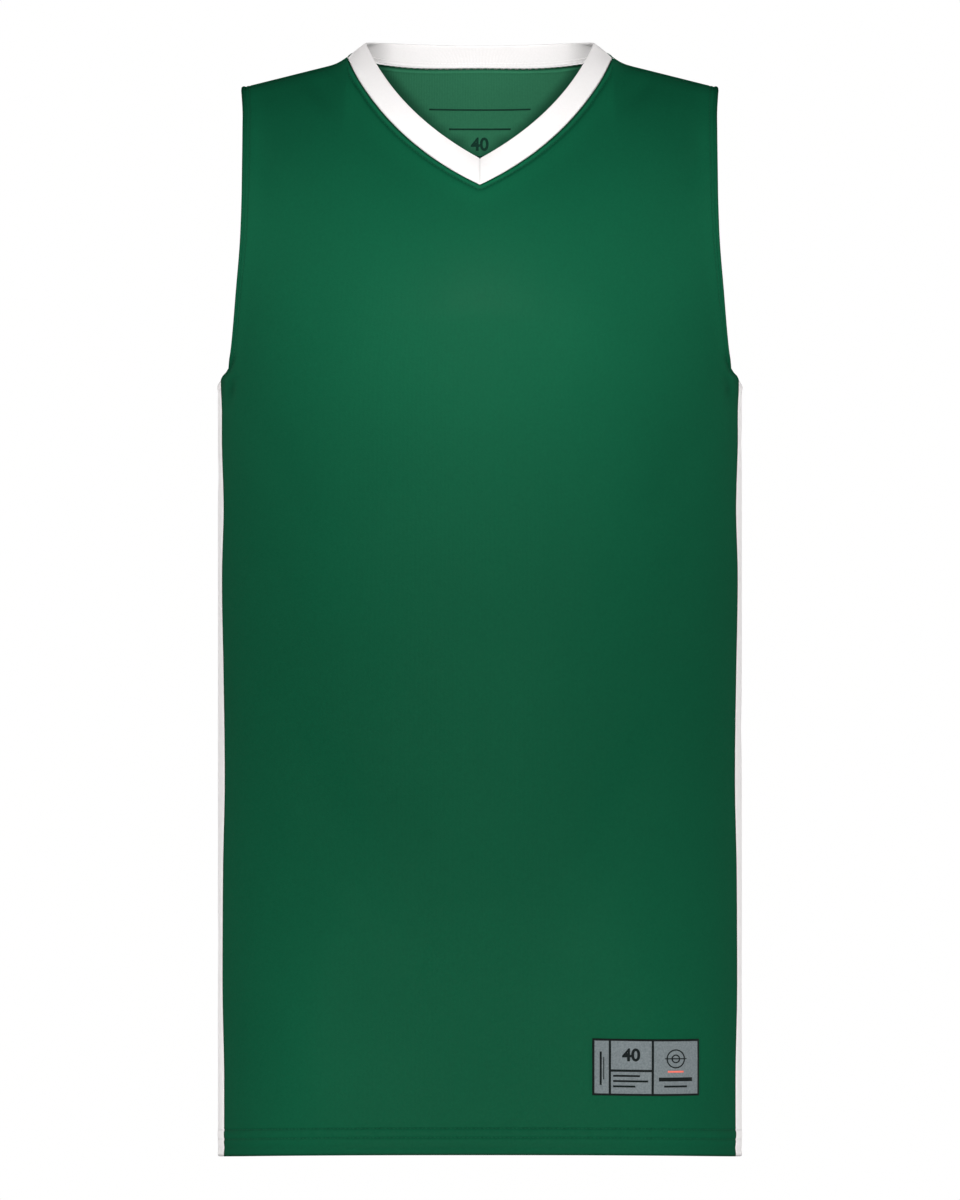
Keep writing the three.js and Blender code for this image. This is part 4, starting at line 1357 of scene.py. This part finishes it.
class JERSEY_OT_stage(bpy.types.Operator):
    """Camera, floor, lights and background"""

    bl_idname = "jersey.stage"
    bl_label = "Stage"

    def execute(self, context):
        scene = context.scene
        camera = bpy.data.objects.new("camera", bpy.data.cameras.new("camera"))
        camera.data.lens = CAMERA_LENS
        camera.data.sensor_width = SENSOR
        camera.data.clip_end = 60.0
        camera.location = CAMERA_PLACE
        camera.rotation_euler = (math.pi / 2, 0, 0)
        scene.collection.objects.link(camera)
        scene.camera = camera
        scene.view_settings.view_transform = "Standard"

        world = bpy.data.worlds.new("studio")
        world.use_nodes = True
        tree = world.node_tree
        root = Wire(tree, None)
        direction = root.node("ShaderNodeTexCoord", None, None, output=0)
        height = root.node("ShaderNodeSeparateXYZ", None, {0: direction}, output=2)
        settings = {"interpolation_type": "SMOOTHSTEP"}
        inputs = [{"Value": height, "From Min": low, "From Max": high} for low, high in (BAND, ROOF)]
        band, roof = (root.node("ShaderNodeMapRange", settings, values) for values in inputs)
        background = tree.nodes["Background"]
        background.inputs["Color"].default_value = (1.0, 0.999, 0.998, 1.0)
        connect(tree, 1.0 + BAND_GAIN * band - (1.0 + BAND_GAIN) * roof, background.inputs["Strength"])
        scene.world = world

        add_area("low front light", (0.0, -2.7, -1.15), (0.0, 0.0, -0.60), 2.4, 0.5, 32.0)
        add_spot("chest light", (0.0, -1.55, 0.35), (0.0, -0.12, -0.215), 0.16, 0.10, 43.0)
        add_spot("neck light", (0.0, -1.60, 0.40), (0.0, 0.05, 0.008), 0.132, 0.03, 42.0)
        add_area("back light", (0.0, 2.6, -0.60), (0.0, 0.1, -0.40), 1.0, 0.9, 36.0)
        for side in (MIRROR, abs(MIRROR)):
            for name, place, target, reach, power in SIDE_SPOTS:
                add_spot(name, side * place, side * target, reach, SPOT_SOFTNESS, power)

        angles = np.linspace(0, 2 * np.pi, FLOOR_SIDES + 1)[:-1]
        radii = FLOOR_RINGS[:, None]
        level = FLOOR_LEVEL + 0 * radii * angles
        ring = np.stack([radii * np.cos(angles), radii * np.sin(angles), level], axis=-1)
        quads = grid_quads(numbered(len(radii), FLOOR_SIDES, (False, True)))[:, ::-1]
        material, shader, _, place = new_material("pale floor", {"Specular IOR Level": 0.2})
        cloudy = noise(place, 1.5)
        base = cloudy.mixed((0.88, 0.877, 0.872), (0.92, 0.917, 0.912))
        finish_material(shader, {"Base Color": base, "Roughness": 0.7 + 0.1 * cloudy})
        mesh = bpy.data.meshes.new("floor")
        mesh.from_pydata(ring.reshape(-1, 3).tolist(), [], quads.tolist())
        mesh.materials.append(material)
        floor = bpy.data.objects.new("floor", mesh)
        scene.collection.objects.link(floor)
        return {"FINISHED"}


def green_panel(context, face, name):
    """The front or the back, in green knit."""
    materials = knits(context, "green knit, right side", "green knit, wrong side")
    make_cloth(name + "_cloth", panel(face, context.scene.jersey_sizes), materials, name)
    return {"FINISHED"}


class JERSEY_OT_front(bpy.types.Operator):
    """Front panel of green knit"""

    bl_idname = "jersey.front"
    bl_label = "Front panel"

    def execute(self, context):
        return green_panel(context, FRONT, "front")


class JERSEY_OT_back(bpy.types.Operator):
    """Back panel of green knit"""

    bl_idname = "jersey.back"
    bl_label = "Back panel"

    def execute(self, context):
        return green_panel(context, BACK, "back")


class JERSEY_OT_sides(bpy.types.Operator):
    """White side panels"""

    bl_idname = "jersey.sides"
    bl_label = "Side panels"

    def execute(self, context):
        materials = knits(context, "white knit, right side", "white knit, wrong side")
        for sign, name in ((1, "side_left"), (-1, "side_right")):
            grid = side_panel(sign, context.scene.jersey_sizes)
            make_cloth(name + "_cloth", grid, materials, name)
        return {"FINISHED"}


class JERSEY_OT_collar(bpy.types.Operator):
    """White collar strip"""

    bl_idname = "jersey.collar"
    bl_label = "Collar"

    def execute(self, context):
        materials = knits(context, "white knit, collar", "white knit, wrong side")
        grid = collar_grid(context.scene.jersey_sizes)
        make_cloth("collar_cloth", grid, materials, "collar", looped=True)
        return {"FINISHED"}


def slab(place, x0, x1, z0, z1, steps, deep):
    """A thin closed slab between two places across and two heights, laid on a surface by place(x, z, out).
    It is a grid of points moved out by deep, and the same grid sunk by deep, joined round its edge."""
    x, z = np.meshgrid(np.linspace(x0, x1, steps + 1), np.linspace(z0, z1, 4))
    index = numbered(*x.shape)
    under = index + x.size
    loop = np.concatenate([index[0, :-1], index[:-1, -1], index[-1, :0:-1], index[:0:-1, 0]])
    ahead = np.roll(loop, -1)
    walls = np.stack([loop, loop + x.size, ahead + x.size, ahead], axis=-1)
    vertices = np.concatenate([place(x, z, out).reshape(-1, 3) for out in (deep, -deep)])
    return vertices, np.concatenate([grid_quads(index), grid_quads(under)[:, ::-1], walls])


def joined(parts):
    """Vertices and quads of several parts as one."""
    base = np.cumsum([0] + [len(vertices) for vertices, _ in parts[:-1]])
    quads = [faces + start for (_, faces), start in zip(parts, base)]
    return np.concatenate([vertices for vertices, _ in parts]), np.concatenate(quads)


def digits(name, size, place, deep, material):
    """A plain number as a closed mesh, laid on a surface by place(x, z, out), centred at its origin. It is
    made a metre high, where its outline fills cleanly, and then brought to its size."""
    curve = bpy.data.curves.new(name, "FONT")
    curve.body = PLAIN_NUMBER
    curve.align_x = "CENTER"
    curve.align_y = "CENTER"
    curve.extrude = deep / size
    curve.offset = 0.03
    curve.resolution_u = 6
    source = bpy.data.objects.new(name + " source", curve)
    bpy.context.scene.collection.objects.link(source)
    bpy.context.view_layer.update()
    mesh = bpy.data.meshes.new_from_object(source)
    bpy.data.objects.remove(source)
    bpy.data.curves.remove(curve)
    mesh.name = name
    shape = bmesh.new()
    shape.from_mesh(mesh)
    bmesh.ops.remove_doubles(shape, verts=shape.verts, dist=1e-5)
    bmesh.ops.recalc_face_normals(shape, faces=shape.faces)
    shape.to_mesh(mesh)
    shape.free()
    flat = np.empty(len(mesh.vertices) * 3, np.float32)
    mesh.vertices.foreach_get("co", flat)
    fill(mesh.vertices, "co", place(*(flat.reshape(-1, 3).astype(float) * size).T))
    mesh.materials.clear()
    mesh.materials.append(material)
    mesh.update()
    return add_object(name, mesh)


def on_tag(x, z, out):
    """A place on the tag from its lower corner, moved out of its face."""
    return front_place(TAG_LEFT + x, TAG_BOTTOM + z - TAG_LEAN * x, TAG_FACE + out)


def tag_number_place(x, z, out):
    """A place on the tag from the middle of its number."""
    return on_tag(TAG_NUMBER[0] + x, TAG_NUMBER[1] + z, out + TAG_NUMBER[2])


class JERSEY_OT_tag(bpy.types.Operator):
    """Woven tag at the hem, with a plain number and bars"""

    bl_idname = "jersey.tag"
    bl_label = "Woven tag"

    def execute(self, context):
        colours = context.scene.jersey_colours

        def lines(size, count):
            """Lines of the grid across the tag, closest at its two edges."""
            even = np.linspace(0.001, size - 0.001, count)
            return np.concatenate([TAG_BORDER, even, size - TAG_BORDER[::-1]])

        u, v = np.meshgrid(lines(TAG_WIDE, 96), lines(TAG_HIGH, 52))
        edge = np.minimum(np.minimum(u, TAG_WIDE - u), np.minimum(v, TAG_HIGH - v))
        lift = TAG_OFF_CLOTH + profile("tag border", edge)
        points = front_place(TAG_LEFT + u, TAG_BOTTOM + v - TAG_LEAN * u, lift)
        grid = {
            "points": points,
            "outward": outward_at(points),
            "thickness": TAG_THICKNESS + 0 * u,
            "uv": np.stack([u, v], axis=-1),
            **dict.fromkeys(("shade", "inside_shade"), 0 * u),
            **dict.fromkeys(("bottom", "top", "edge"), edge),
        }
        woven = tag_material("woven tag", colours)
        make_cloth("woven_tag", grid, [woven, woven], "tag")

        black = thread_material("black tag thread", colours.tag_black)
        red = thread_material("tag accent thread", colours.tag_red)
        bars = [slab(on_tag, *bar, TAG_MARK_DEPTH) for bar in TAG_BARS]
        make_piece("tag_bars", *joined(bars), [black])
        ball = [tag_ring(on_tag, *TAG_BALL, radius, TAG_RING_WIDTH) for radius in TAG_RINGS]
        ball.append(slab(on_tag, *TAG_LINE, TAG_MARK_DEPTH))
        make_piece("tag_ball", *joined(ball), [black])
        make_piece("tag_accent", *slab(on_tag, *TAG_ACCENT, TAG_MARK_DEPTH), [red])
        digits("tag_number", 0.0118, tag_number_place, TAG_MARK_DEPTH, black)
        return {"FINISHED"}


def tag_ring(place, x, z, radius, width):
    """A thin closed ring on a surface: circles of radius r - w/2 and r + w/2, above and below."""
    angle = np.linspace(0, 2 * np.pi, TAG_RING_STEPS + 1)[:-1]
    r = radius + np.array([-1, 1, 1, -1])[:, None] * width / 2
    out = TAG_MARK_DEPTH * np.array([1, 1, -1, -1])[:, None] + 0 * angle
    vertices = place(x + r * np.cos(angle), z + r * np.sin(angle), out)
    return vertices.reshape(-1, 3), grid_quads(numbered(4, TAG_RING_STEPS, (True, True)))[:, ::-1]


def neck_number_place(x, z, out):
    """A place inside the back neck from the middle of its number."""
    return back_inside_place(x, NECK_NUMBER_LEVEL + z, out)


class JERSEY_OT_neck_print(bpy.types.Operator):
    """Plain print inside the back neck"""

    bl_idname = "jersey.neck_print"
    bl_label = "Neck print"

    def execute(self, context):
        ink = print_material("neck print ink", context.scene.jersey_colours.ink)
        context.view_layer.update()
        bars = [slab(back_inside_place, *bar, PRINT_DEPTH) for bar in NECK_BARS]
        make_piece("neck_print_bars", *joined(bars), [ink])
        digits("neck_print_number", 0.0125, neck_number_place, PRINT_DEPTH, ink)
        return {"FINISHED"}


class JERSEY_OT_stitching(bpy.types.Operator):
    """Rows of stitching at the hem, neck and armholes, and the overlocked neck seam inside"""

    bl_idname = "jersey.stitching"
    bl_label = "Stitching"

    def execute(self, context):
        sizes = context.scene.jersey_sizes
        colours = context.scene.jersey_colours
        green = thread_material("green thread", colours.green_thread)
        white = thread_material("white thread", colours.white)
        panels = [panel(face, sizes) for face in (FRONT, BACK)]
        sides = [side_panel(sign, sizes) for sign in (1, -1)]
        shown = STITCH_SHOWN * sizes.stitch

        def sewn(grids, key, distance, axis=0):
            """Rows of stitches at a distance from an edge of each grid."""
            return [stitch_row(*line_on_grid(grid, key, distance, axis), sizes.stitch) for grid in grids]

        heights = (sizes.hem_row, sizes.hem_row + sizes.needle_gauge)
        rows = [sum((sewn(grids, "bottom", height) for height in heights), []) for grids in (panels, sides)]
        stitching("hem_stitches", rows, shown, sizes.thread, [green, white])

        rows = []
        for grid in panels:
            neck = grid["column"][-1] <= NECK_END - 0.1
            line, outward = (part[neck] for part in line_on_grid(grid, "top", sizes.neck_row, 0))
            rows.append(stitch_row(line, outward, sizes.stitch))
        stitching("neck_stitches", [rows], shown, sizes.thread, [green])

        rows = []
        for grid in panels:
            upper = grid["uv"][:, 0, 1] > UNDERARM_LEVEL
            part = {key: grid[key][upper] for key in ("points", "outward", "left", "right")}
            rows += [row for key in ("left", "right") for row in sewn([part], key, sizes.armhole_row, 1)]
        rows = [rows, sewn(sides, "top", sizes.armhole_row)]
        stitching("armhole_stitches", rows, shown, sizes.thread, [green, white])

        collar = collar_grid(sizes)
        inside = collar["points"] - collar["outward"] * collar["thickness"][..., None]
        rows = []
        for line, lean, across in OVERLOCK_ROWS:
            inward = -collar["outward"][line, 2:]
            rows.append(stitch_row(inside[line, 2:], inward, OVERLOCK_PITCH, lean, across))
        stitching("neck_overlock", [rows], OVERLOCK_STITCH, OVERLOCK_THREAD * sizes.thread, [white])
        return {"FINISHED"}


class JERSEY_PT_pieces(bpy.types.Panel):
    """Lists the sizes, colours and pieces of the jersey"""

    bl_idname = "JERSEY_PT_pieces"
    bl_label = "Basketball jersey"
    bl_space_type = "VIEW_3D"
    bl_region_type = "UI"
    bl_category = "Jersey"

    def draw(self, context):
        column = self.layout.column()
        for operator in OPERATORS:
            column.operator(operator.bl_idname)
        for group in (context.scene.jersey_sizes, context.scene.jersey_colours):
            for key in group.__annotations__:
                column.prop(group, key)


OPERATORS = [
    JERSEY_OT_stage,
    JERSEY_OT_front,
    JERSEY_OT_back,
    JERSEY_OT_sides,
    JERSEY_OT_collar,
    JERSEY_OT_tag,
    JERSEY_OT_neck_print,
    JERSEY_OT_stitching,
]
CLASSES = [JerseySizes, JerseyColours, *OPERATORS, JERSEY_PT_pieces]


def register():
    """Registers the classes and gives the scene its sizes and colours."""
    for item in CLASSES:
        bpy.utils.register_class(item)
    bpy.types.Scene.jersey_sizes = bpy.props.PointerProperty(type=JerseySizes)
    bpy.types.Scene.jersey_colours = bpy.props.PointerProperty(type=JerseyColours)


def unregister():
    """Takes them away again."""
    del bpy.types.Scene.jersey_colours
    del bpy.types.Scene.jersey_sizes
    for item in reversed(CLASSES):
        bpy.utils.unregister_class(item)


def main():
    register()
    bpy.ops.jersey.stage()
    bpy.ops.jersey.front()
    bpy.ops.jersey.back()
    bpy.ops.jersey.sides()
    bpy.ops.jersey.collar()
    bpy.ops.jersey.tag()
    bpy.ops.jersey.neck_print()
    bpy.ops.jersey.stitching()


if __name__ == "__main__":
    main()
